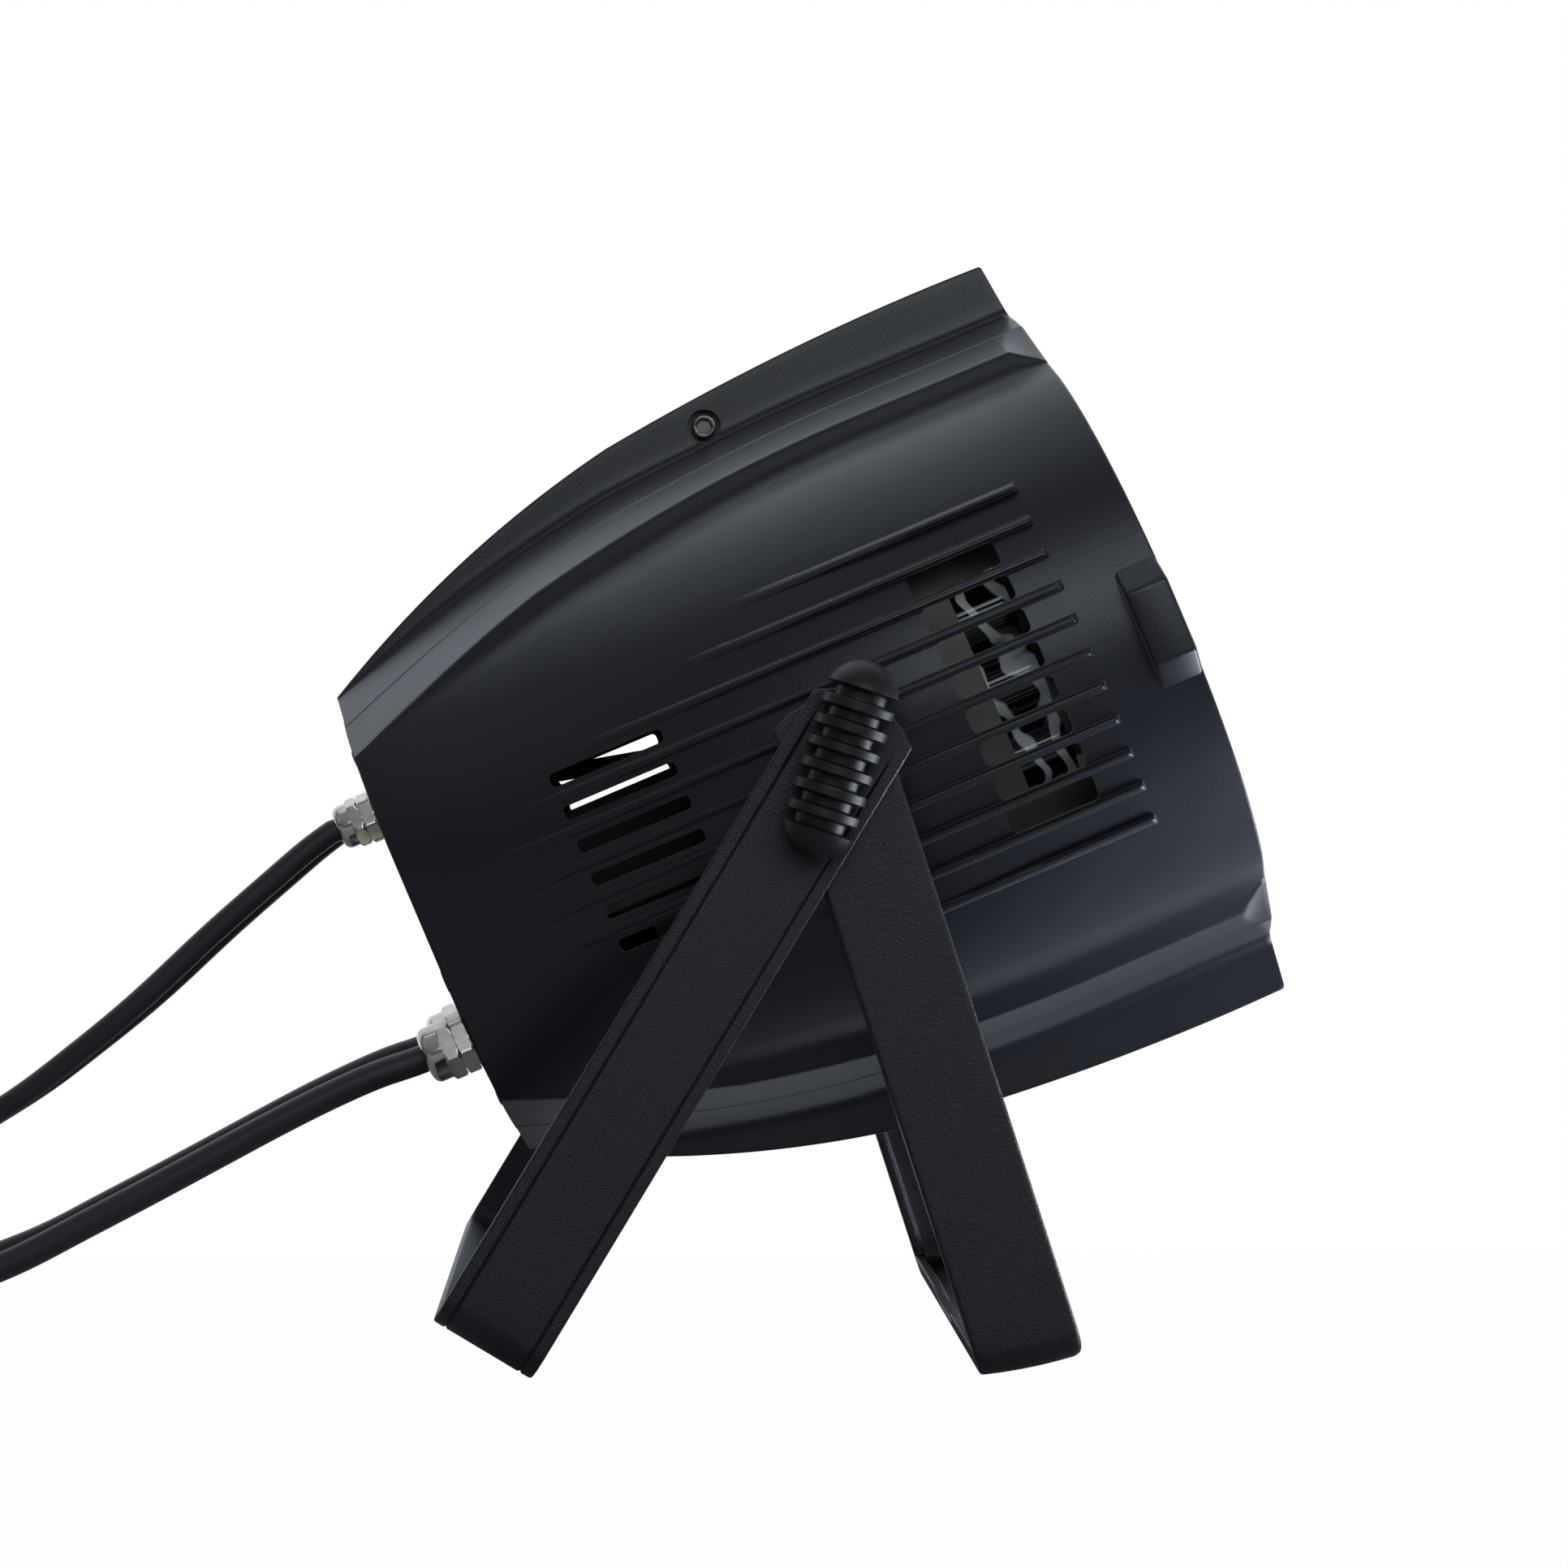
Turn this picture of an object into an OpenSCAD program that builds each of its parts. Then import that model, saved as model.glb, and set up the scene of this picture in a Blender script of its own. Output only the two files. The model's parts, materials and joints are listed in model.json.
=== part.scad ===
// LED par can light with a double yoke, two signal tails and two power tails.
// Millimetres, +Z up. The origin is on the floor under the middle of the light.

/* [Head] */
// Tilt of the head above level, degrees
head_tilt = 23; // [0:1:40]
// Distance from the pivot axis to the front face
front_reach = 106.4; // [100:0.2:112]
// Distance from the pivot axis to the back face
back_reach = 127.7; // [118:0.1:136]
// Half height of the spine at the front face
spine_front = 119.8; // [118:0.2:122]
// Thickness of the spine plate, both halves together
spine_t = 30; // [24:1:36]
// Radius of the round body at the front
body_r = 105.5; // [104:0.5:107]
// Radius of the round of each cheek
cheek_r = 84; // [82:0.5:85]
// Sideways offset of the cheek's middle at the front
cheek_off = 33; // [32:0.5:34]
// Wall thickness of the cast half shells
wall = 3; // [2.4:0.2:3.4]

/* [Ribs and vents] */
// Spacing of the cooling ribs
rib_pitch = 10.35; // [9.8:0.05:10.6]
// Width of a rib
rib_w = 3; // [2:0.2:3.4]
// Height of a rib at its front end
rib_h = 3; // [1.6:0.2:3.4]
// Height of a front window between two ribs
window_h = 7.2; // [5:0.2:7.2]
// Length of a front window
window_len = 27; // [18:1:28]
// Height of a rear slot
slot_h = 4; // [3:0.2:6]
// Length of a rear slot
slot_len = 35; // [24:1:38]

/* [Light engine] */
// Rings of lenses round the centre, six more in each ring
lens_rings = 4; // [2:1:4]
// Depth of a lens cup
lens_depth = 16; // [12:1:20]
// Side of the square fan
fan_side = 92; // [80:1:92]
// Thickness of the fan
fan_t = 25; // [20:1:26]
// Number of fan blades
fan_blades = 7; // [5:1:9]

/* [Rear panel] */
// Rim of the housing left round the rear plate
plate_rim = 5.7; // [5.7:0.1:6.6]
// Height of the signal glands above the axis
signal_v = 37.5; // [36:0.5:39]
// Depth of the power glands below the axis
power_v = 35.5; // [34:0.5:38]
// Sideways offset of all four glands
gland_y = 35; // [32:1:37]
// Corner to corner size of the signal gland's hexagon
signal_hex = 15.3; // [13:0.1:17]
// Corner to corner size of the power gland's hexagon
power_hex = 19.7; // [17:0.1:21]
// Travel of a menu button
button_travel = 0.8; // [0.4:0.1:1]

/* [Yokes] */
// Lean of the outer yoke behind the pivot, degrees
outer_lean = 31.1; // [28:0.1:33]
// Distance from the pivot to the underside of the outer crossbar
outer_drop = 192.4; // [188:0.1:196]
// Width of the outer yoke's bar
outer_w = 32; // [28:1:36]
// Thickness of the outer yoke's bar
outer_t = 4; // [3:0.5:5]
// Distance from the pivot to the underside of the inner crossbar
inner_drop = 177; // [175:0.5:180]
// Width of the inner yoke's channel
inner_w = 30; // [26:1:34]
// Sheet thickness of the inner yoke
inner_t = 3; // [2.5:0.25:3]
// Depth of the inner yoke's flanges, sheet included
flange_d = 8; // [6:0.5:8]
// Sideways position of the inner yoke's outer face
inner_y = 133.5; // [133:0.5:136]
// Radius of the clamp hole in the outer crossbar
clamp_hole_r = 5.25; // [4.25:0.25:6.5]
// Radius of the clamp hole in the inner crossbar
inner_hole_r = 4.25; // [4.25:0.25:6]

/* [Knobs] */
// Length of a clamp knob
knob_len = 57; // [48:1:60]
// Width of a clamp knob
knob_w = 21; // [20:0.5:24]
// Depth of a clamp knob
knob_d = 20; // [17:0.5:24]
// Lean of the knob's long side from upright, degrees
knob_lean = 18.2; // [0:0.1:45]
// Radius of the knob's threaded stud
stud_r = 3.95; // [3.5:0.05:4]

/* [Tails] */
// Diameter of a signal tail
signal_d = 7; // [6:0.5:7.5]
// Diameter of a power tail
power_d = 8.5; // [7.5:0.5:9]
// Middle of a coil across, in cord diameters
coil_across = 11; // [10:0.5:11.5]
// Turns in each layer of a coil
coil_turns = 0.875; // [0.75:0.125:0.875]

/* [Hidden] */
$fn = 48;
NEAR = -1;
FAR = 1;
SIDES = [NEAR, FAR];
UPS = [1, -1];

// A small overhang for cutters, and the air left between pieces that only lie together.
cut = 1;
air = 0.1;
// Air between pieces that move past each other.
run = 0.3;

// Where the pivot axis stands: the outer yoke rests on the front edge of its crossbar.
pivot_z = outer_drop * cos(outer_lean) + outer_w / 2 * sin(outer_lean);
signal_out = 14;
power_out = 17;
x_front = front_reach * cos(head_tilt) + spine_front * sin(head_tilt);
x_back = (back_reach + signal_out) * cos(head_tilt) + (signal_v + signal_hex / 2) * sin(head_tilt);
pivot_x = (x_back - x_front) / 2;

// The inner yoke leans forward until the back edge of its crossbar is on the floor too.
inner_edge = atan(inner_w / 2 / inner_drop);
inner_lean = inner_edge + acos(pivot_z / norm([inner_drop, inner_w / 2]));

// Stack along the pivot axis, from the head outwards.
boss_end = inner_y - inner_t - air;
washer_t = 1;
outer_in = inner_y + washer_t;
outer_out = outer_in + outer_t;
knob_washer_t = 1;
knob_in = outer_out + knob_washer_t + 2 * air;

// Height above the axis on an arc of radius rad that peaks with height top at place at.
function arc_r(u, at, top, rad) = top - rad + sqrt(rad * rad - pow(u - at, 2));
// Round body and cheek: straight ahead of their peak, falling away behind it.
body_peak = front_reach - 56.4;
cheek_peak = front_reach - 46.4;
function body_at(u) = arc_r(min(u, body_peak), body_peak, body_r, 525);
// Seen from above, a cheek is straight in front and bends in on a wide arc behind.
cheek_sweep = 389;
cheek_mid = cheek_off + cheek_r - cheek_sweep;
// The spine's outline: a long front arc and a tighter back arc that meet behind the pivot.
spine_peak = front_reach - 23;
spine_turn = spine_peak - 106.4;
function spine_at(u) = (u < spine_turn ? arc_r(u, spine_peak - 39.7, spine_front - 0.6, 353.4)
  : arc_r(u, spine_peak, spine_front + 0.3, 784.7));
// Sideways reach of a cheek at a place along the axis and a height.
function cheek_y(u, v) = cheek_mid + sqrt(
  pow(cheek_sweep - cheek_r + sqrt(cheek_r * cheek_r - v * v), 2) - pow(min(u, cheek_peak) - cheek_peak, 2));
// Evenly spaced places from one end to the other.
function steps(from, to, count) = [for (i = [0:count]) from + (to - from) * i / count];

// The head's own frame: x forward along the axis, z up across it, y to the far side.
module on_pivot() { translate([pivot_x, 0, pivot_z]) children(); }
module on_head() { on_pivot() rotate([0, -head_tilt, 0]) children(); }
// Turns a shape drawn along +Z so that it runs forward from a place on the head.
module forward(u, y = 0, v = 0) { translate([u, y, v]) rotate([0, 90, 0]) children(); }
// Turns a shape drawn along +Z so that it runs sideways, away from the middle.
module sideways(side, u, y, v) { translate([u, side * y, v]) rotate([side * -90, 0, 0]) children(); }

module ring(r_out, r_in, h) {
  difference() {
    cylinder(r = r_out, h = h);
    translate([0, 0, -cut]) cylinder(r = r_in, h = h + 2 * cut);
  }
}

// A screw along +Z: head first, then the shank, with a hexagon socket.
module socket_screw(head_r, head_h, shank_r, shank_h, key) {
  difference() {
    union() {
      cylinder(r = head_r, h = head_h);
      cylinder(r = shank_r, h = head_h + shank_h);
    }
    translate([0, 0, -cut]) cylinder(r = key / 2, h = head_h * 0.6 + cut, $fn = 6);
  }
}

// Cross-section of a bent bar, seen along its width: two legs and a crossbar, rounded outside.
module u_outline(half, drop, up, bend) {
  translate([-half, bend - drop]) square([2 * half, up + drop - bend]);
  translate([bend - half, -drop]) square([2 * (half - bend), drop]);
  for (s = [-1, 1]) translate([s * (half - bend), bend - drop]) circle(r = bend, $fn = 64);
}

// A bent bar of the given thickness, cut from the outline and drawn along its width.
module bent_bar(half, drop, up, t, bend, w) {
  rotate([90, 0, 90]) linear_extrude(height = w, center = true) difference() {
    u_outline(half, drop, up, bend);
    translate([0, cut]) u_outline(half - t, drop - t + cut, up + cut, max(bend - t, 1));
  }
}

// Keeps the legs below a round end that stands `beyond` above the pivot.
module round_end(beyond, half, drop) {
  end_r = 25;
  intersection() {
    children();
    union() {
      translate([-50, -half - cut, -drop - cut]) cube([100, 2 * (half + cut), drop + cut]);
      translate([0, 0, beyond - end_r]) rotate([90, 0, 0])
        cylinder(r = end_r, h = 2 * (half + cut), center = true, $fn = 96);
    }
  }
}

module cross_hole(r) { rotate([90, 0, 0]) cylinder(r = r, h = 400, center = true); }

outer_bend = 9;
outer_end = 19;
inner_bend = 8;
inner_end = 18;
pivot_hole_r = stud_r + 0.45;

module outer_yoke() {
  groove_w = 1.2;
  groove_deep = 0.6;
  color("dimgray") on_pivot() rotate([0, outer_lean, 0]) difference() {
    round_end(outer_end, outer_out, outer_drop)
      bent_bar(outer_out, outer_drop, outer_end + cut, outer_t, outer_bend, outer_w);
    for (s = [-1, 1]) translate([s * (outer_w / 2 - 4), 0, 0])
      bent_bar(outer_out + cut, outer_drop + cut, outer_end + 2 * cut, groove_deep + cut,
        outer_bend + cut, groove_w);
    cross_hole(pivot_hole_r);
    translate([0, 0, -outer_drop - cut]) cylinder(r = clamp_hole_r, h = outer_t + 2 * cut);
  }
}

module yoke_washers() {
  color("silver") on_pivot() for (s = SIDES)
    sideways(s, 0, inner_y + air, 0) ring(13, pivot_hole_r, washer_t - 2 * air);
}

// The inner yoke is a channel: a web with two flanges that point at the head.
module inner_yoke() {
  flange_top = 6;
  notch = 24;
  color("dimgray") on_pivot() rotate([0, -inner_lean, 0]) difference() {
    union() {
      round_end(inner_end, inner_y, inner_drop)
        bent_bar(inner_y, inner_drop, inner_end + cut, inner_t, inner_bend, inner_w);
      for (s = [-1, 1]) translate([s * (inner_w - inner_t) / 2, 0, 0])
        bent_bar(inner_y, inner_drop, flange_top, flange_d, inner_bend, inner_t);
    }
    cross_hole(pivot_hole_r);
    translate([-inner_w, -notch, inner_t - inner_drop]) cube([2 * inner_w, 2 * notch, 2 * flange_d]);
    translate([0, 0, -inner_drop - cut]) cylinder(r = inner_hole_r, h = inner_t + 2 * cut);
  }
}

module stadium(len, w) {
  square([w, len - w], center = true);
  for (s = [-1, 1]) translate([0, s * (len - w) / 2]) circle(d = w);
}

// A bar-shaped knob with cross grooves for the fingers, on a round foot.
module knob(side) {
  groove_pitch = 6.2;
  groove_w = 3.3;
  groove_deep = 3.5;
  foot_h = 3;
  color("black") on_pivot() rotate([0, knob_lean, 0]) sideways(side, 0, knob_in, 0) difference() {
    union() {
      cylinder(r = knob_w / 2 - 2, h = foot_h + cut);
      translate([0, 0, foot_h]) linear_extrude(height = knob_d - foot_h) stadium(knob_len, knob_w);
    }
    for (i = [-3:3])
      translate([-knob_w / 2 - cut, i * groove_pitch - groove_w / 2, knob_d - groove_deep])
        cube([knob_w + 2 * cut, groove_w, groove_deep + cut]);
    translate([0, 0, -cut]) cylinder(r = stud_r + 0.05, h = 12 + air + cut);
  }
}
module knob_near() { knob(NEAR); }
module knob_far() { knob(FAR); }

boss_r = 11;
boss_in = cheek_y(0, 0) - 14.3;
stud_tip = boss_in + 6;
module stud(side) {
  color("silver") on_pivot() sideways(side, 0, stud_tip, 0)
    cylinder(r = stud_r, h = knob_in + 12 - stud_tip);
}
module stud_near() { stud(NEAR); }
module stud_far() { stud(FAR); }

module knob_washer(side) {
  color("silver") on_pivot() sideways(side, 0, outer_out + air, 0) ring(10, stud_r + air, knob_washer_t);
}
module knob_washer_near() { knob_washer(NEAR); }
module knob_washer_far() { knob_washer(FAR); }

// A solid turned about the head's axis from a radius that varies along it.
module turned(radii) {
  last = len(radii) - 1;
  rotate([0, 90, 0]) rotate_extrude($fn = 96)
    polygon(concat([[0, radii[0][1]]], radii, [[0, radii[last][1]]]));
}
module body_round(shrink, from, to) {
  turned([for (u = concat(steps(from, body_peak, 10), [to])) [body_at(u) - shrink, u]]);
}
module cheek_round(side, shrink, from, to) {
  half = cheek_off + cheek_r + cut;
  mirror([0, side < 0 ? 1 : 0, 0]) {
    intersection() {
      translate([cheek_peak, cheek_mid, 0]) rotate_extrude($fn = 96)
        translate([cheek_sweep - cheek_r, 0]) circle(r = cheek_r - shrink, $fn = 96);
      translate([from, -half / 2, -half]) cube([cheek_peak - from, 1.5 * half, 2 * half]);
    }
    forward(cheek_peak, cheek_off) cylinder(r = cheek_r - shrink, h = to - cheek_peak, $fn = 96);
  }
}
// The main round shows as a shelf beside the spine; a low step leads down from it to the cheek.
shelf_y = 57;
shelf_back = 50;
shelf_turn = -20;
shelf_end = front_reach - 22;
module shelf_slab(shrink, end) {
  y = shelf_y - shrink;
  slant = 22 - 1.5 * shrink;
  upper = [[-back_reach - cut, shelf_back - shrink], [shelf_turn, y], [end, y],
    [end + 12, y + slant], [end + 12, body_r + cut], [front_reach + 2 * cut, body_r + cut]];
  lower = [for (i = [len(upper) - 1:-1:0]) [upper[i][0], -upper[i][1]]];
  translate([0, 0, -body_r - cut]) linear_extrude(height = 2 * (body_r + cut)) polygon(concat(upper, lower));
}
module skin(side, shrink, from, to) {
  intersection() {
    body_round(shrink, from, to);
    shelf_slab(shrink, shelf_end);
  }
  cheek_round(side, shrink, from, to);
}
module spine_plate() {
  line = concat(steps(-back_reach, spine_turn, 7), steps(spine_turn + 12, front_reach, 7));
  top = [for (u = line) [u, spine_at(u)]];
  under = [for (i = [len(line) - 1:-1:0]) [line[i], -spine_at(line[i])]];
  rotate([90, 0, 0]) linear_extrude(height = spine_t, center = true) polygon(concat(top, under));
}

// Outer skin of the head, sideways from the axis.
function skin_y(u, v) = cheek_y(u, v);
rib_front = front_reach - 27.4;
rib_fade = [-112, -104, -90, -68, -30, -8];
module rib(side, i) {
  v = i * rib_pitch;
  line = steps(rib_fade[abs(i)], rib_front, 8);
  top = [for (k = [0:8]) [line[k], side * (skin_y(line[k], v) + rib_h * min(1, k / 5))]];
  under = [for (k = [8:-1:0]) [line[k], side * (skin_y(line[k], v) - wall / 2)]];
  translate([0, 0, v - rib_w / 2]) linear_extrude(height = rib_w) polygon(concat(top, under));
}

// A hole through the cheek's wall with rounded ends, drawn along the axis.
module vent(side, from, len, v, h, round_r) {
  translate([from + len / 2, side * 100, v]) rotate([90, 0, 0])
    linear_extrude(height = 70, center = true) {
      square([len - 2 * round_r, h], center = true);
      square([len, h - 2 * round_r], center = true);
      for (s = [-1, 1], t = [-1, 1])
        translate([s * (len / 2 - round_r), t * (h / 2 - round_r)]) circle(r = round_r);
    }
}

// Front face of the lamp board; the windows look in just ahead of it.
board_face = front_reach - 60.4;
window_from = board_face - 7;
slot_from = -77;
screw_u = 7.3;
screw_v = 107.5;
back_wall = 4;
plate_seat = 1.5;
plate_t = plate_seat + 1;
plate_r = body_at(-back_reach) - plate_rim;
plate_half = cheek_y(-back_reach, 0) - plate_rim;
rear_hole_r = plate_r - 7;
plate_screw_r = plate_r - 3.4;
plate_screw_at = [58, 122, 238, 302];
tab_len = 13;
tab_half = 17;
tab_h = 6;
tab_top = cheek_off + cheek_r + tab_h;
tab_foot = cheek_off + cheek_r - 4;
ledge_u = front_reach - 18.4;
ledge_t = 4;
glass_t = 3;
gasket_t = 1.5;
opening_r = body_r - 16.5;
glass_r = body_r - 11.5;
bezel_r = body_r - wall - 0.5;
bezel_end = front_reach - 2.4;
bezel_screw_r = body_r - 7.3;
bezel_screws_n = 6;
chassis_top = -14.3;
chassis_t = 2;
chassis_from = -98;
chassis_to = -22;
chassis_u = [chassis_from + 8, chassis_to - 8];
chassis_half = cheek_y(chassis_from, chassis_top) - 8.5;
chassis_y = chassis_half - 6;

// A disc with two flat sides.
module plate_disc(u, r, half, t) {
  intersection() {
    forward(u) cylinder(r = r, h = t, $fn = 96);
    translate([u - cut, -half, -r - cut]) cube([t + 2 * cut, 2 * half, 2 * (r + cut)]);
  }
}
module bezel_screw_places() {
  for (i = [0:bezel_screws_n - 1]) rotate([30 + i * 360 / bezel_screws_n, 0, 0])
    translate([0, 0, bezel_screw_r]) children();
}

// One cast half of the housing: round body, cheek and half of the spine, hollowed out.
module shell(side) {
  difference() {
    intersection() {
      union() {
        difference() {
          union() {
            skin(side, 0, -back_reach, front_reach);
            spine_plate();
          }
          skin(side, wall, back_wall - back_reach, front_reach - 2 * back_wall);
          forward(fin_back - 1) cylinder(r = drum_r + 0.3, h = ledge_u - fin_back + 2, $fn = 96);
          forward(ledge_u + 2) cylinder(r = body_r - wall, h = front_reach, $fn = 96);
        }
        for (i = [-5:5]) rib(side, i);
        // Tab on the front edge of the cheek, with slanted ends.
        translate([front_reach - tab_len, 0, 0]) rotate([90, 0, 90])
          linear_extrude(height = tab_len) polygon([
            [side * tab_foot, -tab_half - 2], [side * tab_top, tab_h - tab_half],
            [side * tab_top, tab_half - tab_h], [side * tab_foot, tab_half + 2]]);
        intersection() {
          forward(ledge_u) ring(body_r - 1, opening_r, ledge_t);
          skin(side, 0.5, -back_reach, front_reach);
        }
        // Pads that carry the chassis plate.
        intersection() {
          for (u = chassis_u) translate([u - 6, side * 88 - 24, chassis_top - chassis_t - 10])
            cube([12, 48, 10]);
          skin(side, wall / 2, -back_reach, front_reach);
        }
      }
      translate([-200, side < 0 ? -200 : 0, -200]) cube([400, 200, 400]);
    }
    plate_disc(-back_reach - cut, rear_hole_r, plate_half - 7, back_wall + 2 * cut);
    plate_disc(-back_reach - cut, plate_r + 0.3, plate_half + 0.3, plate_seat + cut);
    for (a = plate_screw_at) forward(-back_reach, plate_screw_r * cos(a), plate_screw_r * sin(a))
      cylinder(r = 1.25, h = back_wall + cut);
    for (i = [-4:3]) vent(side, window_from, window_len, (i + 0.5) * rib_pitch, window_h, 1.6);
    for (i = [-3:2]) vent(side, slot_from, slot_len, (i + 0.5) * rib_pitch, slot_h, 1.4);
    sideways(side, 0, 90, 0) cylinder(r = boss_r, h = 50);
    for (t = UPS) sideways(side, screw_u, -cut, t * screw_v) cylinder(r = 2.75, h = 40);
    for (t = UPS) sideways(side, screw_u, spine_t / 2 - 5.5, t * screw_v)
      cylinder(r = side < 0 ? 5.15 : 4.75, h = 20, $fn = side < 0 ? 48 : 6);
    bezel_screw_places() forward(ledge_u - cut) cylinder(r = 1.5, h = ledge_t + 2 * cut);
    for (u = chassis_u) translate([u, side * chassis_y, chassis_top - 20]) cylinder(r = 1.5, h = 30);
  }
}
module shell_near() { color("black") on_head() shell(NEAR); }
module shell_far() { color("black") on_head() shell(FAR); }

// Turns a shape drawn along +Z so that it runs backward from a place on the head.
module backward(u, y = 0, v = 0) { translate([u, y, v]) rotate([0, -90, 0]) children(); }

// Screws through the spine hold the two halves together.
module shell_screws() {
  color("gray") on_head() for (t = UPS)
    translate([screw_u, -spine_t / 2, t * screw_v]) rotate([-90, 0, 0])
      socket_screw(4.25, 5.5, 2.5, spine_t - 7, 4);
}
module shell_nuts() {
  color("gray") on_head() for (t = UPS) sideways(FAR, screw_u, spine_t / 2 - 5.5, t * screw_v) difference() {
    cylinder(r = 4.6, h = 4, $fn = 6);
    translate([0, 0, -cut]) cylinder(r = 2.55, h = 6);
  }
}

// Threaded steel inserts that take the knob studs.
module pivot_bosses() {
  color("gray") on_head() for (s = SIDES) sideways(s, 0, boss_in, 0) difference() {
    union() {
      cylinder(r = boss_r - 0.05, h = boss_end - boss_in);
      cylinder(r = 16, h = 5);
    }
    translate([0, 0, 4]) cylinder(r = stud_r + 0.05, h = 60);
  }
}

module front_bezel() {
  seat = ledge_u + ledge_t;
  color("black") on_head() difference() {
    union() {
      forward(seat + gasket_t + glass_t) ring(bezel_r, opening_r, bezel_end - seat - gasket_t - glass_t);
      forward(seat) ring(bezel_r, glass_r + 0.6, bezel_end - seat);
    }
    bezel_screw_places() forward(seat - cut) cylinder(r = 1.7, h = 30);
    bezel_screw_places() forward(bezel_end - 3) cylinder(r = 3, h = 10);
  }
}
module bezel_screws() {
  color("gray") on_head() bezel_screw_places() backward(bezel_end) socket_screw(2.75, 2.9, 1.45, 12.8, 2.5);
}
module front_glass() {
  color([0.8, 0.9, 0.95, 0.4]) on_head() forward(ledge_u + ledge_t + gasket_t)
    cylinder(r = glass_r, h = glass_t);
}
module glass_gasket() {
  color("darkslategray") on_head() forward(ledge_u + ledge_t) ring(glass_r, opening_r + 1, gasket_t);
}

board_t = 1.6;
base_t = 6.4;
engine_r = body_r - 12.5;
drum_r = body_r - 10.5;
fin_back = board_face - 32;
// The lenses fill the board: whole pitches from the middle, then one cup.
cup_share = 0.4714;
lens_pitch = (engine_r - 0.6) / (lens_rings + cup_share);
cup_r = cup_share * lens_pitch;
drum_gap = 3.19 * rib_pitch;
// Places of the lenses: rings of 6, 12, 18 and 24 round the axis.
module lens_places() {
  for (k = [1:lens_rings], i = [0:6 * k - 1]) rotate([i * 60 / k, 0, 0])
    translate([0, 0, k * lens_pitch]) children();
}
module led_drum() {
  color("darkgray") on_head() difference() {
    forward(fin_back) ring(drum_r, engine_r + 0.2, ledge_u - fin_back - 0.5);
    // Cut away at both sides, in front of the lens feet.
    translate([board_face + 3.6, -2 * drum_r, -drum_gap]) cube([ledge_u, 4 * drum_r, 2 * drum_gap]);
  }
}
module lens_cups() {
  color("black") on_head() lens_places() forward(board_face) ring(cup_r, cup_r - 1, lens_depth + 4);
}
module lens_optics() {
  color([0.9, 0.9, 0.9, 0.5]) on_head() lens_places() forward(board_face + 1.5)
    cylinder(r1 = 3, r2 = cup_r - 1.2, h = lens_depth);
}
module led_emitters() {
  color("gold") on_head() lens_places() translate([board_face, -2.5, -2.5]) cube([1.3, 5, 5]);
}
module led_board() {
  color("white") on_head() forward(board_face - board_t) cylinder(r = engine_r, h = board_t);
}
// Finned plate behind the board.
module heat_sink() {
  plate_at = board_face - board_t - base_t;
  fin_r = engine_r - 4.5;
  color("silver") on_head() union() {
    forward(plate_at) cylinder(r = engine_r, h = base_t);
    for (i = [-7:7]) let (y = i * fin_r / 7.5, up = sqrt(fin_r * fin_r - y * y))
      translate([fin_back, y - 1, -up]) cube([plate_at - fin_back + cut, 2, 2 * up]);
  }
}

fan_front = fin_back;
fan_back = fan_front - fan_t;
fan_r = fan_side / 2 - 3;
hub_r = 18;
fan_hole = fan_side / 2 - 5.5;
module fan_frame() {
  color("dimgray") on_head() difference() {
    union() {
      difference() {
        translate([fan_back, -fan_side / 2, -fan_side / 2]) cube([fan_t, fan_side, fan_side]);
        forward(fan_back - cut) cylinder(r = fan_r, h = fan_t + 2 * cut);
      }
      // Motor plate with the shaft that the rotor turns on.
      forward(fan_back) rotate_extrude()
        polygon([[0, 0], [hub_r, 0], [hub_r, 3], [1.95, 3], [1.95, fan_t - 4], [0, fan_t - 4]]);
      for (a = [0:90:270]) rotate([a, 0, 0])
        translate([fan_back + 0.4, -2, hub_r - 2]) cube([2.2, 4, fan_r - hub_r + 3.5]);
    }
    for (s = [-1, 1], t = [-1, 1]) forward(fan_back - cut, s * fan_hole, t * fan_hole)
      cylinder(r = 2.2, h = fan_t + 2 * cut);
  }
}
module fan_rotor() {
  blade_c = 19;
  blade_mid = fan_t / 2 + 1;
  color("black") on_head() forward(fan_back) difference() {
    union() {
      translate([0, 0, 4]) cylinder(r = hub_r - 1, h = fan_t - 5.5);
      for (i = [0:fan_blades - 1]) rotate([0, 0, i * 360 / fan_blades])
        translate([hub_r - 4, 0, blade_mid]) rotate([35, 0, 0])
          translate([0, -blade_c / 2, -0.9]) cube([fan_r - hub_r + 2, blade_c, 1.8]);
    }
    translate([0, 0, 3]) cylinder(r = 2, h = fan_t - 6);
  }
}

// Sheet that carries the power supply on top and the driver board underneath.
module chassis_plate() {
  color("silver") on_head() difference() {
    translate([chassis_from, -chassis_half, chassis_top - chassis_t])
      cube([chassis_to - chassis_from, 2 * chassis_half, chassis_t]);
    for (u = chassis_u, s = SIDES) translate([u, s * chassis_y, chassis_top - 5]) cylinder(r = 1.7, h = 10);
  }
}
module chassis_screws() {
  color("gray") on_head() for (u = chassis_u, s = SIDES) translate([u, s * chassis_y, chassis_top + 2.4])
    rotate([180, 0, 0]) socket_screw(2.75, 2.4, 1.45, 9, 2.5);
}
supply_top = 15.5;
supply_u = [-92, -30];
block_u = -40;
module power_supply() {
  long = supply_u[1] - supply_u[0];
  color("gainsboro") on_head() {
    translate([supply_u[0], -50, chassis_top]) cube([long, 100, supply_top - chassis_top]);
    // Terminal block for the inner leads.
    translate([block_u, -45, supply_top - 0.5]) cube([10, 90, 9]);
  }
}
driver_top = chassis_top - chassis_t - 1.7;
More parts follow.
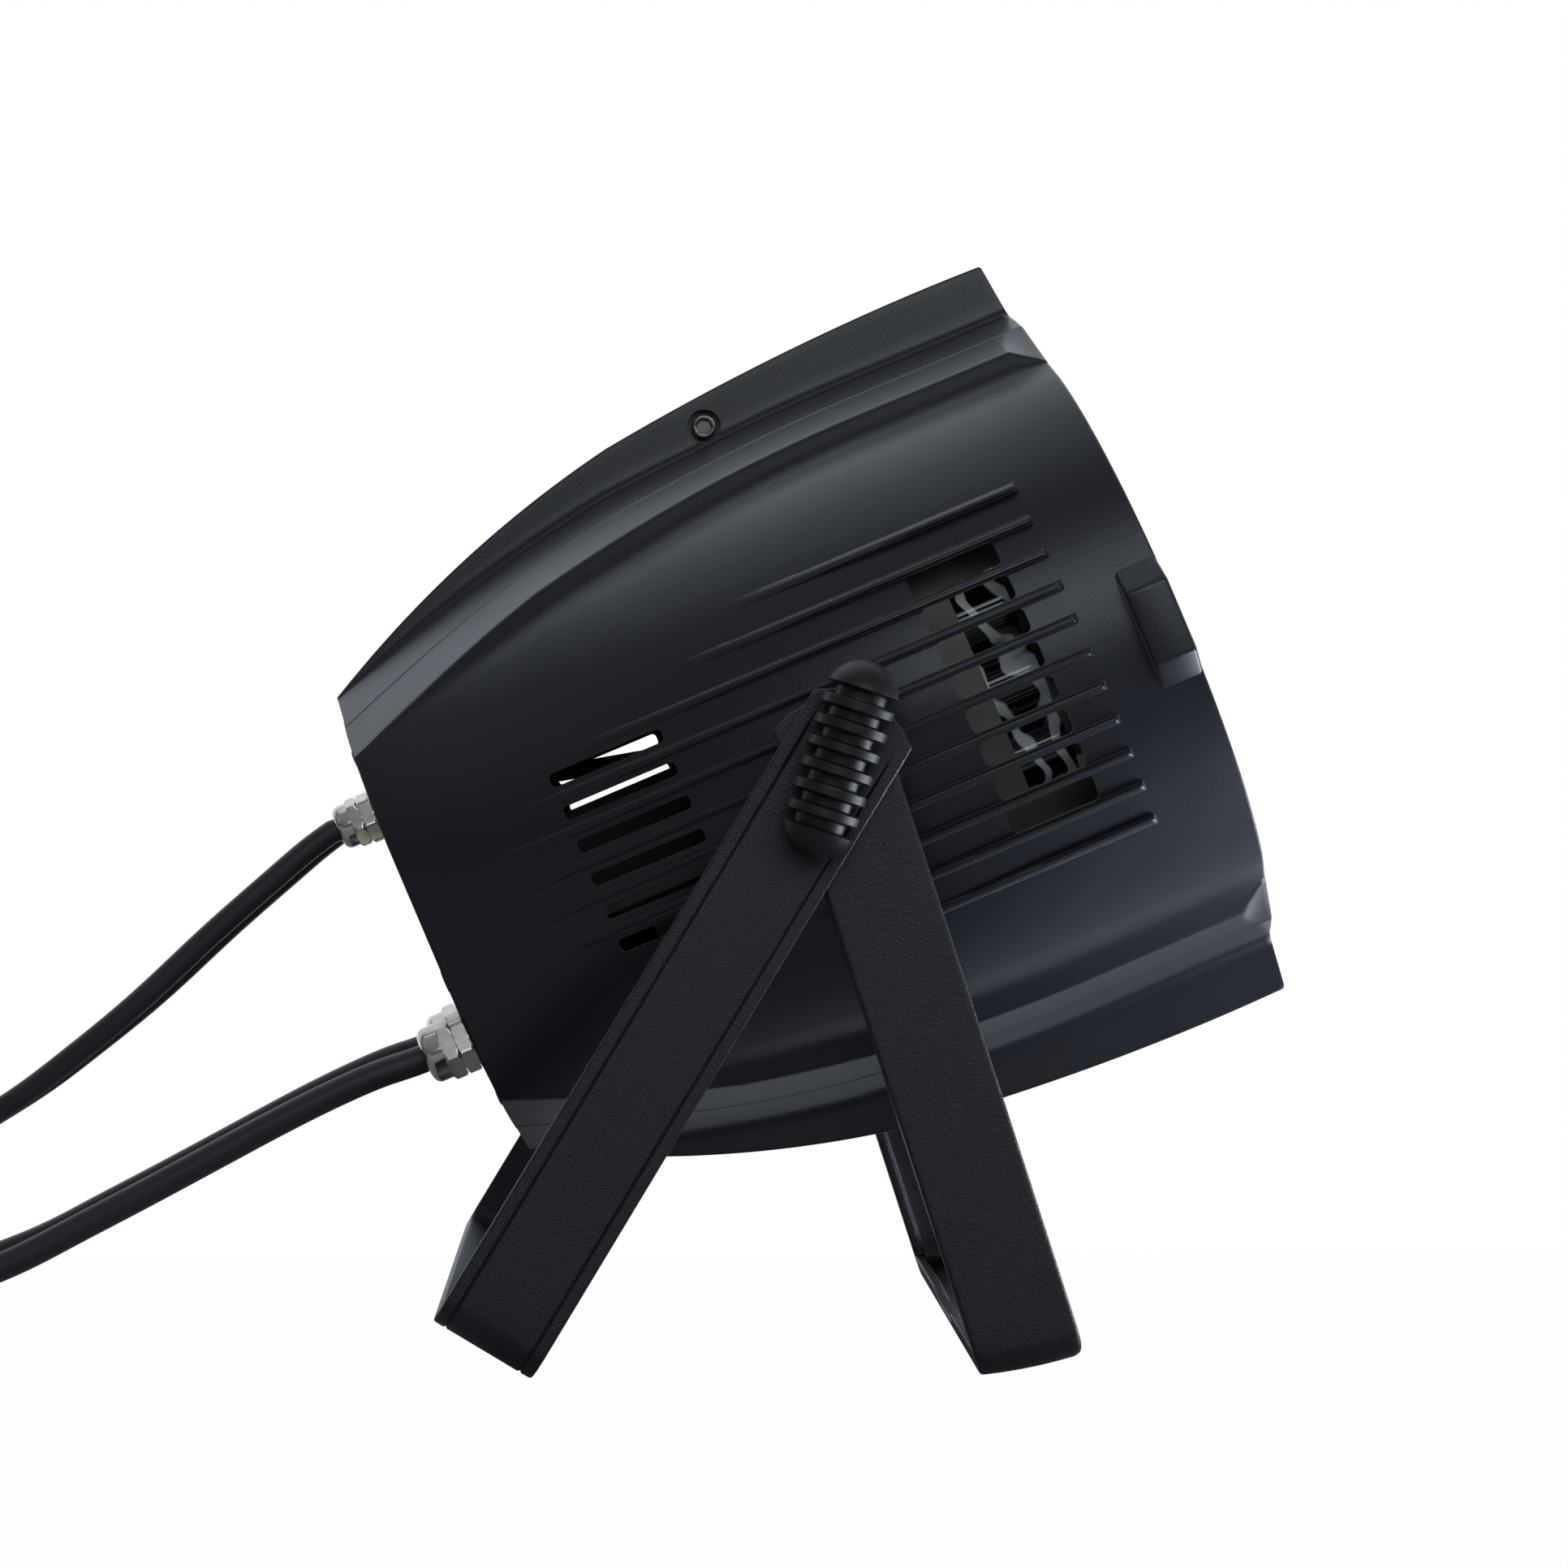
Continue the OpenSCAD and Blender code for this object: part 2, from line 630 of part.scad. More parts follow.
module driver_board() {
  color("darkgreen") on_head() {
    translate([-94, -55, driver_top - 1.6]) cube([66, 110, 1.6]);
    for (u = [-88, -34], s = SIDES) translate([u, s * 48, driver_top - 1]) cylinder(r = 3, h = 2.7);
    translate([-94, -44, driver_top - 15]) cube([14, 88, 14]);
    for (y = [-36:24:36]) translate([-66, y - 8, driver_top - 13]) cube([16, 16, 12]);
    for (y = [-30:20:30]) translate([-38, y, driver_top - 12]) cylinder(r = 6, h = 11);
  }
}

plate_out = -back_reach - 1;
plate_in = plate_out + plate_t;
key_v = -17;
key_y = [-27, -9, 9, 27];
key_r = 3.5;
view_v = 7;
view_w = 46;
view_h = 16;
key_end = plate_in + 2.4;
control_u = 13.5 - back_reach;
module control_board() {
  color("darkgreen") on_head() {
    translate([control_u - 1.6, -42, -26]) cube([1.6, 84, 46]);
    // A push switch stands under each button.
    for (y = key_y) translate([key_end + 1, y - 3, key_v - 3]) cube([control_u - 1 - key_end - 1, 6, 6]);
  }
}
module display_module() {
  color("navy") on_head() {
    translate([plate_in + 0.6, -26, view_v - 12]) cube([control_u - 1.6 - plate_in - 0.6, 52, 22]);
    translate([plate_out + 0.3, 0.4 - view_w / 2, view_v + 0.4 - view_h / 2])
      cube([plate_t + 1, view_w - 0.8, view_h - 0.8]);
  }
}
// A menu button: a round cap with a flange behind the plate.
module menu_button(i) {
  color("gray") on_head() forward(plate_out - 2, key_y[i], key_v) {
    cylinder(r = key_r, h = key_end - plate_out + 2);
    translate([0, 0, key_end - plate_out + 0.6]) cylinder(r = key_r + 1.1, h = 1.4);
  }
}
module button_1() { menu_button(0); }
module button_2() { menu_button(1); }
module button_3() { menu_button(2); }
module button_4() { menu_button(3); }

signal_thread = 6;
power_thread = 7.6;
module gland_places(v) { for (s = SIDES) translate([0, s * gland_y, v]) children(); }
module rear_plate() {
  color("black") on_head() difference() {
    plate_disc(plate_out, plate_r, plate_half, plate_t);
    gland_places(signal_v) forward(plate_out - cut) cylinder(r = signal_thread + 0.2, h = 10);
    gland_places(-power_v) forward(plate_out - cut) cylinder(r = power_thread + 0.2, h = 10);
    for (a = plate_screw_at) forward(plate_out - cut, plate_screw_r * cos(a), plate_screw_r * sin(a))
      cylinder(r = 1.6, h = 10);
    for (y = key_y) forward(plate_out - cut, y, key_v) cylinder(r = key_r + 0.35, h = 10);
    translate([plate_out - cut, -view_w / 2, view_v - view_h / 2]) cube([10, view_w, view_h]);
  }
}
module rear_plate_screws() {
  color("gray") on_head() for (a = plate_screw_at)
    forward(plate_out - 1.8, plate_screw_r * cos(a), plate_screw_r * sin(a))
      socket_screw(2.75, 1.8, 1.2, plate_t + back_wall - plate_seat - 0.4, 2);
}

signal_flange = 5;
power_flange = 5.5;
module gland(v, hex, flange, thread) {
  color("silver") on_head() gland_places(v) {
    backward(plate_out) cylinder(r = hex / 2, h = flange, $fn = 6);
    forward(plate_out - 1) cylinder(r = thread, h = 11);
  }
}
module signal_glands() { gland(signal_v, signal_hex, signal_flange, signal_thread); }
module power_glands() { gland(-power_v, power_hex, power_flange, power_thread); }
// The cap nut squeezes the seal on the cord: a hexagon, then a cone.
module gland_cap(v, hex, flange, cord_d, out) {
  hex_h = 0.45 * (out - 1 - flange);
  color("silver") on_head() gland_places(v) backward(plate_out - flange) {
    cylinder(r = hex / 2, h = hex_h, $fn = 6);
    cylinder(r1 = hex * 0.47, r2 = cord_d / 2 + 1.2, h = out - 1 - flange);
  }
}
module signal_gland_caps() { gland_cap(signal_v, signal_hex, signal_flange, signal_d, signal_out); }
module power_gland_caps() { gland_cap(-power_v, power_hex, power_flange, power_d, power_out); }
module locknut(r, bore) {
  difference() {
    cylinder(r = r, h = 3, $fn = 6);
    translate([0, 0, -cut]) cylinder(r = bore, h = 6);
  }
}
module gland_locknuts() {
  color("silver") on_head() {
    gland_places(signal_v) forward(plate_in) locknut(8.6, signal_thread + 0.05);
    gland_places(-power_v) forward(plate_in) locknut(10.5, power_thread + 0.05);
  }
}

// Inside leads run straight from a gland to a terminal.
module lead(from, to, r) {
  run_u = to[0] - from[0];
  run_v = to[1] - from[1];
  // The slanted end just clears the gland.
  clear = r * abs(run_v) / norm([run_u, run_v]);
  for (s = SIDES) translate([from[0] + clear, s * gland_y, from[1]]) rotate([0, 90 - atan2(run_v, run_u), 0])
    cylinder(r = r, h = norm([run_u, run_v]) - 2 * clear);
}
lead_from = plate_out + 10 + air;
module signal_leads() {
  color("black") on_head() lead([lead_from, signal_v], [block_u - 0.8, supply_top + 4], 2.5);
}
module power_leads() {
  color("black") on_head() lead([lead_from, -power_v], [-95, driver_top - 8], 3);
}

// Tails. A point on the head, in the frame of the floor.
function from_head(u, y, v) = [pivot_x + u * cos(head_tilt) - v * sin(head_tilt), y,
  pivot_z + u * sin(head_tilt) + v * cos(head_tilt)];
gland_way = [-cos(head_tilt), 0, -sin(head_tilt)];
lift = 1.6;
signal_back = 455;
power_back = 350;
lane = 12;
function climb(d) = 1.08 * d;
function sink(d) = 1.3 * d;
function coil_r(d) = coil_across * d / 2 + sink(d) * coil_turns / 2;
function ease(t) = t <= 0 ? 0 : t >= 1 ? 1 : t * t * (3 - 2 * t);
// Radius and height of the cord's middle after so many turns: in, up through half a turn, out.
function coil_radius(t, d) = coil_r(d) - sink(d) * (min(t, coil_turns) - max(0, t - coil_turns - 0.5));
function coil_height(t, d) = lift + d / 2 + climb(d) * ease((t - coil_turns) / 0.5);
function coil_point(side, mid, t, d) = [mid[0] + coil_radius(t, d) * cos(90 + 360 * t),
  -side * (coil_radius(t, d) * sin(90 + 360 * t) + mid[1]), coil_height(t, d)];
coil_all = 2 * coil_turns + 0.5;
coil_rings = round(24 * coil_all);
// Heading of the cord where it leaves the near coil.
coil_exit = 180 + 360 * coil_all;
function tail(d) = 4.6 * d;
// Middle line of a coil: a short straight, the turns, and a straight tail to the connector.
function coil_mid(back, y, d) = [pivot_x - back, -(y + coil_r(d))];
function coil_line(side, mid, d) = let (
  turns = [for (i = [0:coil_rings]) coil_point(side, mid, i * coil_all / coil_rings, d)],
  end = turns[coil_rings],
  way = [cos(coil_exit), -side * sin(coil_exit), 0])
  concat([turns[0] + [d, 0, 0]], turns, [end + d * way, end + tail(d) * way]);
signal_mid = coil_mid(signal_back, lane, signal_d);
power_mid = coil_mid(power_back, gland_y, power_d);
function signal_turns(side) = coil_line(side, signal_mid, signal_d);
function power_turns(side) = coil_line(side, power_mid, power_d);

// Least air between turns that lie side by side or on top of each other.
function least_gap(line, d) = min([for (i = [0:len(line) - 1], k = [i + 12:1:len(line) - 1])
  norm(line[i] - line[k])]) - d;
echo("signal coil, least gap", least_gap(signal_turns(NEAR), signal_d));
echo("power coil, least gap", least_gap(power_turns(NEAR), power_d));

// Hand-chosen routes: shares of the way back, of the way down and of the sideways shift.
signal_route = [[0.05, 0.075, 0], [0.125, 0.21, 0.03], [0.2, 0.355, 0.1], [0.275, 0.48, 0.27],
  [0.335, 0.57, 0.42], [0.51, 0.78, 0.85], [0.66, 0.905, 1], [0.81, 0.975, 1], [0.925, 1, 1]];
power_route = [[0.05, 0.046, 0], [0.125, 0.14, 0], [0.195, 0.24, 0], [0.28, 0.37, 0], [0.37, 0.508, 0],
  [0.46, 0.642, 0], [0.57, 0.8, 0.2], [0.72, 0.94, 0.7], [0.86, 0.995, 1]];
function route(from, to, d, shares) = concat([from, from + 0.4 * d * gland_way, from + 0.8 * d * gland_way],
  [for (s = shares) [for (k = [0:2]) from[k] + (to[k] - from[k]) * s[k == 0 ? 0 : k == 1 ? 2 : 1]]],
  [to + [d, 0, 0], to]);
function near_far(i, p) = p[max(0, min(len(p) - 1, i))];
// A round curve through the points, two pieces to each stretch.
function halved(p) = [for (i = [0:2 * (len(p) - 1)]) i % 2 == 0 ? p[i / 2] : let (k = floor(i / 2))
  (9 * (p[k] + p[k + 1]) - near_far(k - 1, p) - near_far(k + 2, p)) / 16];
function signal_line(side) = let (to = signal_turns(side)[0])
  halved(route(from_head(-back_reach - signal_out, side * gland_y, signal_v), to, signal_d, signal_route));
function power_line(side) = let (to = power_turns(side)[0])
  route(from_head(-back_reach - power_out, side * gland_y, -power_v), to, power_d, power_route);
function line_len(p) = len(p) < 2 ? 0 : norm(p[1] - p[0]) + line_len([for (i = [1:len(p) - 1]) p[i]]);
echo("signal tail length", line_len(signal_line(NEAR)) + line_len(signal_turns(NEAR)));
echo("power tail length", line_len(power_line(NEAR)) + line_len(power_turns(NEAR)));

// A tube along a line of points, with flat ends.
function unit(v) = v / norm(v);
module tube(line, d, sides) {
  last = len(line) - 1;
  rings = [for (i = [0:last]) let (
    way = unit(line[min(i + 1, last)] - line[max(i - 1, 0)]),
    across = unit(cross(way, [0, 0, 1])),
    up = cross(across, way))
    for (k = [0:sides - 1]) line[i] + d / 2 * (cos(360 * k / sides) * across + sin(360 * k / sides) * up)];
  walls = [for (i = [0:last - 1], k = [0:sides - 1]) let (n = (k + 1) % sides)
    [i * sides + k, i * sides + n, (i + 1) * sides + n, (i + 1) * sides + k]];
  ends = [[for (k = [sides - 1:-1:0]) k], [for (k = [0:sides - 1]) last * sides + k]];
  polyhedron(points = rings, faces = concat(walls, ends), convexity = 6);
}
module signal_cord_near() { color("black") tube(signal_line(NEAR), signal_d, 8); }
module signal_cord_far() { color("black") tube(signal_line(FAR), signal_d, 8); }
module power_cord_near() { color("black") tube(power_line(NEAR), power_d, 8); }
module power_cord_far() { color("black") tube(power_line(FAR), power_d, 8); }
module signal_coil_near() { color("black") tube(signal_turns(NEAR), signal_d, 6); }
module signal_coil_far() { color("black") tube(signal_turns(FAR), signal_d, 6); }
module power_coil_near() { color("black") tube(power_turns(NEAR), power_d, 6); }
module power_coil_far() { color("black") tube(power_turns(FAR), power_d, 6); }

// A strap round the two layers, where one turn lies straight above the other.
tie_turn = coil_turns - 0.25;
tie_t = 1.4;
module tie(mid, d) {
  tie_w = 8;
  inside = [d + 0.7, tie_w + 2 * cut, climb(d) + d + 0.5];
  outside = [inside[0] + 2 * tie_t, tie_w, inside[2] + 2 * tie_t];
  translate([mid[0], mid[1], 0]) rotate([0, 0, 90 + 360 * tie_turn])
    translate([coil_radius(tie_turn, d), 0, lift + (climb(d) + d) / 2]) difference() {
      cube(outside, center = true);
      cube(inside, center = true);
    }
}
module coil_ties() {
  color("darkslategray") for (s = SIDES) mirror([0, s < 0 ? 0 : 1, 0]) {
    tie(signal_mid, signal_d);
    tie(power_mid, power_d);
  }
}

// In-line connector at the end of a tail, lying on the floor: boot, barrel and coupling ring.
boot_len = 14;
barrel_len = 18;
collar_len = 16;
pins = 3;
module pin_places(r) {
  for (i = [0:pins - 1]) rotate([0, 0, i * 360 / pins]) translate([r, 0, 0]) children();
}
module at_tail(side, mid, d) {
  end = coil_line(NEAR, mid, d)[coil_rings + 3];
  mirror([0, side < 0 ? 0 : 1, 0]) translate(end) rotate([0, 0, coil_exit]) rotate([0, 90, 0]) children();
}
module connector_body(r, d) {
  cylinder(r1 = d / 2 + 1.2, r2 = 0.72 * r, h = boot_len);
  translate([0, 0, boot_len]) cylinder(r = 0.84 * r, h = barrel_len);
}
module plug_end(side, mid, d) {
  r = coil_height(coil_all, d);
  color("black") at_tail(side, mid, d) {
    connector_body(r, d);
    translate([0, 0, boot_len + barrel_len]) ring(r, 0.72 * r, collar_len);
    translate([0, 0, boot_len + barrel_len - cut]) pin_places(0.32 * r) cylinder(r = 1, h = collar_len - 3);
  }
}
module socket_end(side, mid, d) {
  r = coil_height(coil_all, d);
  front = boot_len + barrel_len;
  color("black") at_tail(side, mid, d) difference() {
    union() {
      connector_body(r, d);
      translate([0, 0, front]) cylinder(r = r, h = 5);
      translate([0, 0, front]) cylinder(r = 0.68 * r, h = collar_len);
    }
    translate([0, 0, front + 4]) pin_places(0.32 * r) cylinder(r = 1.3, h = collar_len);
  }
}
module signal_plug() { plug_end(NEAR, signal_mid, signal_d); }
module signal_socket() { socket_end(FAR, signal_mid, signal_d); }
module power_plug() { plug_end(NEAR, power_mid, power_d); }
module power_socket() { socket_end(FAR, power_mid, power_d); }

outer_yoke();
yoke_washers();
inner_yoke();
knob_near();
stud_near();
knob_washer_near();
knob_far();
stud_far();
knob_washer_far();
shell_near();
shell_far();
shell_screws();
shell_nuts();
pivot_bosses();
front_bezel();
bezel_screws();
front_glass();
glass_gasket();
led_drum();
lens_cups();
lens_optics();
led_emitters();
led_board();
heat_sink();
fan_frame();
fan_rotor();
chassis_plate();
chassis_screws();
power_supply();
driver_board();
control_board();
display_module();
button_1();
button_2();
button_3();
button_4();
rear_plate();
rear_plate_screws();
signal_glands();
signal_gland_caps();
power_glands();
power_gland_caps();
gland_locknuts();
signal_leads();
power_leads();
signal_cord_near();
signal_cord_far();
power_cord_near();
power_cord_far();
signal_coil_near();
signal_coil_far();
power_coil_near();
power_coil_far();
coil_ties();
signal_plug();
signal_socket();
power_plug();
power_socket();
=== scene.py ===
# %% [markdown]
# # A par can light
# A stage light with a finned housing, a double yoke and four rubber tails.
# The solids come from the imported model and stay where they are. This file gives them their
# finishes, and swaps the ones whose real shape is softer or finer for surfaces worked out here.

# %% Load the frame
import json
import math

import bmesh
import bpy
import numpy as np
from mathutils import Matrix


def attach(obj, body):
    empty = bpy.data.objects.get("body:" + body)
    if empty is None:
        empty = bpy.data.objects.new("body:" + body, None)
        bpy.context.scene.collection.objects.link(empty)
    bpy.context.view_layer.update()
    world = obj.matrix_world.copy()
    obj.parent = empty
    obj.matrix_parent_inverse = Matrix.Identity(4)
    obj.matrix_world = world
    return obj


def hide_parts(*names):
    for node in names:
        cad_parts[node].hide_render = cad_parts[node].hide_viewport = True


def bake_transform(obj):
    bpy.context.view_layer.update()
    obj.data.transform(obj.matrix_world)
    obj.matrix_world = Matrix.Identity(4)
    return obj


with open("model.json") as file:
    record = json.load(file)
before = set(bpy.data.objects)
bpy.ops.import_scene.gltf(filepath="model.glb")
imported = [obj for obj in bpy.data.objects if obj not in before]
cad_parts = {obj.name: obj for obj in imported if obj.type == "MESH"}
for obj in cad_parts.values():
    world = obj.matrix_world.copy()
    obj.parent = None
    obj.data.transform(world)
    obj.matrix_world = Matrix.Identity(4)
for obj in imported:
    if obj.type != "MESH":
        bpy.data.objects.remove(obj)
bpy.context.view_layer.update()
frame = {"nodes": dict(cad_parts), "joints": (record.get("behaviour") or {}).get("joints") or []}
nodes = frame["nodes"]
joints = {joint["name"]: joint for joint in frame["joints"]}

# %% [markdown]
# ## Sizes
# All lengths are in metres. The head has its own directions: `u` forward along the light's axis,
# `y` to the far side and `v` up across the axis. The pivot is the zero of all three, and the head
# is tilted up, so one small function takes head places to places over the floor.

# %% Measures and the head's own directions
MM = 0.001
PIVOT = np.array(joints["head_tilt"]["pos_m"])
TILT = math.radians(23)
FRONT, BACK = 106.4 * MM, -127.7 * MM


def on_head(u, y, v):
    """Places on the head as an array of points: turn (u, v) up by the tilt, then move to the pivot."""
    u, y, v = np.broadcast_arrays(np.asarray(u, float), np.asarray(y, float), np.asarray(v, float))
    x = PIVOT[0] + u * math.cos(TILT) - v * math.sin(TILT)
    z = PIVOT[2] + u * math.sin(TILT) + v * math.cos(TILT)
    return np.stack([x, y + PIVOT[1], z], axis=-1)


print("pivot", PIVOT.round(4).tolist())

# %% [markdown]
# ## Surfaces from grids
# Every new piece is a grid of points. Two index arrays, shifted by one, give all the faces at once,
# so no loop runs over the points.

# %% Grid helpers
def grid_faces(rows, cols, around=False, start=0):
    """Quads of a rows by cols grid; with around, the last column joins the first."""
    r = np.arange(rows - 1)[:, None]
    c = np.arange(cols if around else cols - 1)[None, :]
    n = (c + 1) % cols
    quads = [r * cols + c, r * cols + n, (r + 1) * cols + n, (r + 1) * cols + c]
    return np.stack(np.broadcast_arrays(*quads), axis=-1).reshape(-1, 4) + start


def mesh_piece(name, points, faces, flat_angle=None):
    """A mesh object at the origin from points and faces, smooth, with edges sharper than flat_angle kept."""
    mesh = bpy.data.meshes.new(name)
    mesh.from_pydata(np.asarray(points).reshape(-1, 3).tolist(), [], [list(map(int, f)) for f in faces])
    mesh.update()
    mesh.shade_smooth()
    if flat_angle is not None:
        mesh.set_sharp_from_angle(angle=math.radians(flat_angle))
    piece = bpy.data.objects.new(name, mesh)
    bpy.context.scene.collection.objects.link(piece)
    return piece


def unit(a):
    """Vectors scaled to length one."""
    return a / np.linalg.norm(a, axis=-1, keepdims=True)


def tube_rings(line, radius, sides):
    """Rings round a line: centre + radius * (cos a * across + sin a * up), across = way x Z."""
    way = unit(np.gradient(line, axis=0))
    across = unit(np.cross(way, [0, 0, 1.0]))
    up = np.cross(across, way)
    a = np.linspace(0, 2 * np.pi, sides, endpoint=False)[None, :, None]
    radius = np.broadcast_to(np.asarray(radius, float), (len(line),))[:, None, None]
    return line[:, None] + radius * (np.cos(a) * across[:, None] + np.sin(a) * up[:, None])


def capped(rows, cols):
    """Faces of a closed tube: the walls and a flat face at each end."""
    walls = [f[::-1] for f in grid_faces(rows, cols, around=True)]
    return walls + [np.arange(cols), np.arange(cols)[::-1] + (rows - 1) * cols]


print("helpers ready")

# %% [markdown]
# ## Camera
# The picture was taken from the side, a hair towards the back, from about six housing lengths away.
# A long lens at that distance gives the same slight perspective. The lens is given by how many
# picture points its focal length spans, since that is what can be measured on a photograph.

# %% Camera
AIM = PIVOT + np.array([-10.4, 0.0, -7.2]) * MM
DISTANCE = 1420 * MM
AZIMUTH, ELEVATION = math.radians(-2.0), math.radians(0.2)
PICTURE_PX, FOCAL_PX, SENSOR = 1932, 5680, 36
level = math.cos(ELEVATION)
stand_off = np.array([math.sin(AZIMUTH) * level, -math.cos(AZIMUTH) * level, math.sin(ELEVATION)])
camera = bpy.data.objects.new("camera", bpy.data.cameras.new("camera"))
bpy.context.scene.collection.objects.link(camera)
camera.location = AIM + DISTANCE * stand_off
camera.rotation_euler = (math.pi / 2 - ELEVATION, 0, AZIMUTH)
camera.data.sensor_width = SENSOR
camera.data.lens = SENSOR * FOCAL_PX / PICTURE_PX
camera.data.clip_end = 20
bpy.context.scene.camera = camera
bpy.context.scene.view_settings.view_transform = "Standard"
print("camera at", np.round(camera.location, 3).tolist())

# %% [markdown]
# ## Floor
# A catalogue picture stands its object on a white sweep. A plain grey sheet would show its own
# shading, so the camera sees an almost pure glow instead, mixed in by Light Path, while every other
# ray meets the pale sheet. That keeps the ground white without one more lamp on the object.

# %% Floor
FLOOR_Z, GLOW_SHARE = -0.4 * MM, 0.985


def new_material(name):
    """A node material, its tree and its shader."""
    made = bpy.data.materials.new(name)
    made.use_nodes = True
    return made, made.node_tree, made.node_tree.nodes["Principled BSDF"]


def set_inputs(node, **values):
    """Sets a node's inputs by name, with an underscore for each space."""
    for name, value in values.items():
        node.inputs[name.replace("_", " ")].default_value = value


def add_node(tree, kind, **values):
    """A new shader node of that kind with some inputs set."""
    node = tree.nodes.new("ShaderNode" + kind)
    set_inputs(node, **values)
    return node


def join(source, target):
    """Links an output of a node to an input in the same tree."""
    source.id_data.links.new(source, target)


sheet = [(-1, -1.2, FLOOR_Z), (1, -1.2, FLOOR_Z), (1, 0.2, FLOOR_Z), (-1, 0.2, FLOOR_Z)]
floor = mesh_piece("floor", sheet, [(0, 1, 2, 3)])
floor_paint, tree, shader = new_material("floor_paint")
set_inputs(shader, Base_Color=(0.4, 0.4, 0.42, 1), Roughness=0.9)
glow = add_node(tree, "Emission", Color=(1, 1, 1, 1))
path, share = add_node(tree, "LightPath"), add_node(tree, "Math")
share.operation = "MULTIPLY"
share.inputs[1].default_value = GLOW_SHARE
join(path.outputs["Is Camera Ray"], share.inputs[0])
blend_in = add_node(tree, "MixShader")
join(share.outputs[0], blend_in.inputs[0])
join(shader.outputs[0], blend_in.inputs[1])
join(glow.outputs[0], blend_in.inputs[2])
join(blend_in.outputs[0], tree.nodes["Material Output"].inputs["Surface"])
floor.data.materials.append(floor_paint)
print("floor", floor.dimensions[:2])

# %% [markdown]
# ## Room
# Black paint shows what it mirrors, so the room matters more than the lamps. Behind the object it is
# a bright backdrop, in front it is dim and grows lighter towards the ceiling. Two map ranges on the
# ray's direction give that, and the camera alone sees plain white.

# %% Room
STUDIO_LIGHT = (0.84, 0.91, 1.0)
world = bpy.data.worlds.new("studio")
bpy.context.scene.world = world
world.use_nodes = True
tree = world.node_tree
backdrop = tree.nodes["Background"]
set_inputs(backdrop, Color=(1, 1, 1, 1))
dim = add_node(tree, "Background", Color=(*STUDIO_LIGHT, 1))
ray, ray_parts = add_node(tree, "TexCoord"), add_node(tree, "SeparateXYZ")
join(ray.outputs["Generated"], ray_parts.inputs[0])


def ramp(socket, low, high, first, last):
    """Maps low..high of one part of the ray's direction to first..last."""
    node = add_node(tree, "MapRange", From_Min=low, From_Max=high, To_Min=first, To_Max=last)
    join(ray_parts.outputs[socket], node.inputs["Value"])
    return node.outputs[0]


behind = add_node(tree, "Mix")
behind.data_type = "FLOAT"
join(ramp("Y", 0.15, 0.65, 0, 1), behind.inputs[0])
join(ramp("Z", -0.3, 1.0, 0.05, 0.36), behind.inputs[2])
behind.inputs[3].default_value = 1.0
join(behind.outputs[0], dim.inputs["Strength"])
path, pick = add_node(tree, "LightPath"), add_node(tree, "MixShader")
join(path.outputs["Is Camera Ray"], pick.inputs[0])
join(dim.outputs[0], pick.inputs[1])
join(backdrop.outputs[0], pick.inputs[2])
join(pick.outputs[0], tree.nodes["World Output"].inputs["Surface"])
print("room", world.name)

# %% [markdown]
# ## Lamps
# One broad soft box above the camera lights the sides. A weaker one stands overhead and a little
# behind, so that it strokes the shelf beside the spine, and two faint ones fill the sides. The low
# lamp in front stands for the light that a white floor throws up under the front lip.

# %% Lamps
def soft_box(name, place, aim, size, power):
    """A rectangular area lamp at place that looks at aim, unseen by the camera."""
    data = bpy.data.lights.new(name, "AREA")
    data.shape = "RECTANGLE"
    data.size, data.size_y = size
    data.energy = power
    data.color = STUDIO_LIGHT
    lamp = bpy.data.objects.new(name, data)
    bpy.context.scene.collection.objects.link(lamp)
    way = unit(np.asarray(aim, float) - np.asarray(place, float))
    lamp.location = place
    lamp.rotation_euler = (math.acos(-way[2]), 0, math.atan2(-way[0], way[1]))
    lamp.visible_camera = False
    return lamp


lamps = [
    soft_box("top_box", (-0.4, 0.2, 1.5), PIVOT, (1.2, 0.9), 1.7),
    soft_box("left_box", (-1.5, -0.7, 0.75), PIVOT, (0.9, 0.9), 0.3),
    soft_box("front_box", (0.3, -1.9, 0.95), PIVOT, (1.6, 1.0), 11.0),
    soft_box("right_box", (1.3, -0.5, 0.35), PIVOT, (0.5, 0.7), 1.3),
    soft_box("floor_glow", (0.34, -0.08, 0.012), (0.12, -0.04, 0.12), (0.3, 0.14), 2.0),
]
print("lamps", len(lamps))

# %% [markdown]
# ## Rubber for the tails
# The tails are flexible rubber cord, drawn through a die: black and satin, with a very fine grain and
# a little dust. Two noises at different sizes drive the tone, the roughness and the bump. Every finish
# on this light needs such a pair, so they live in one node group with named inputs.

# %% Shared noise group and the rubber
SPECK_FROM = 0.66


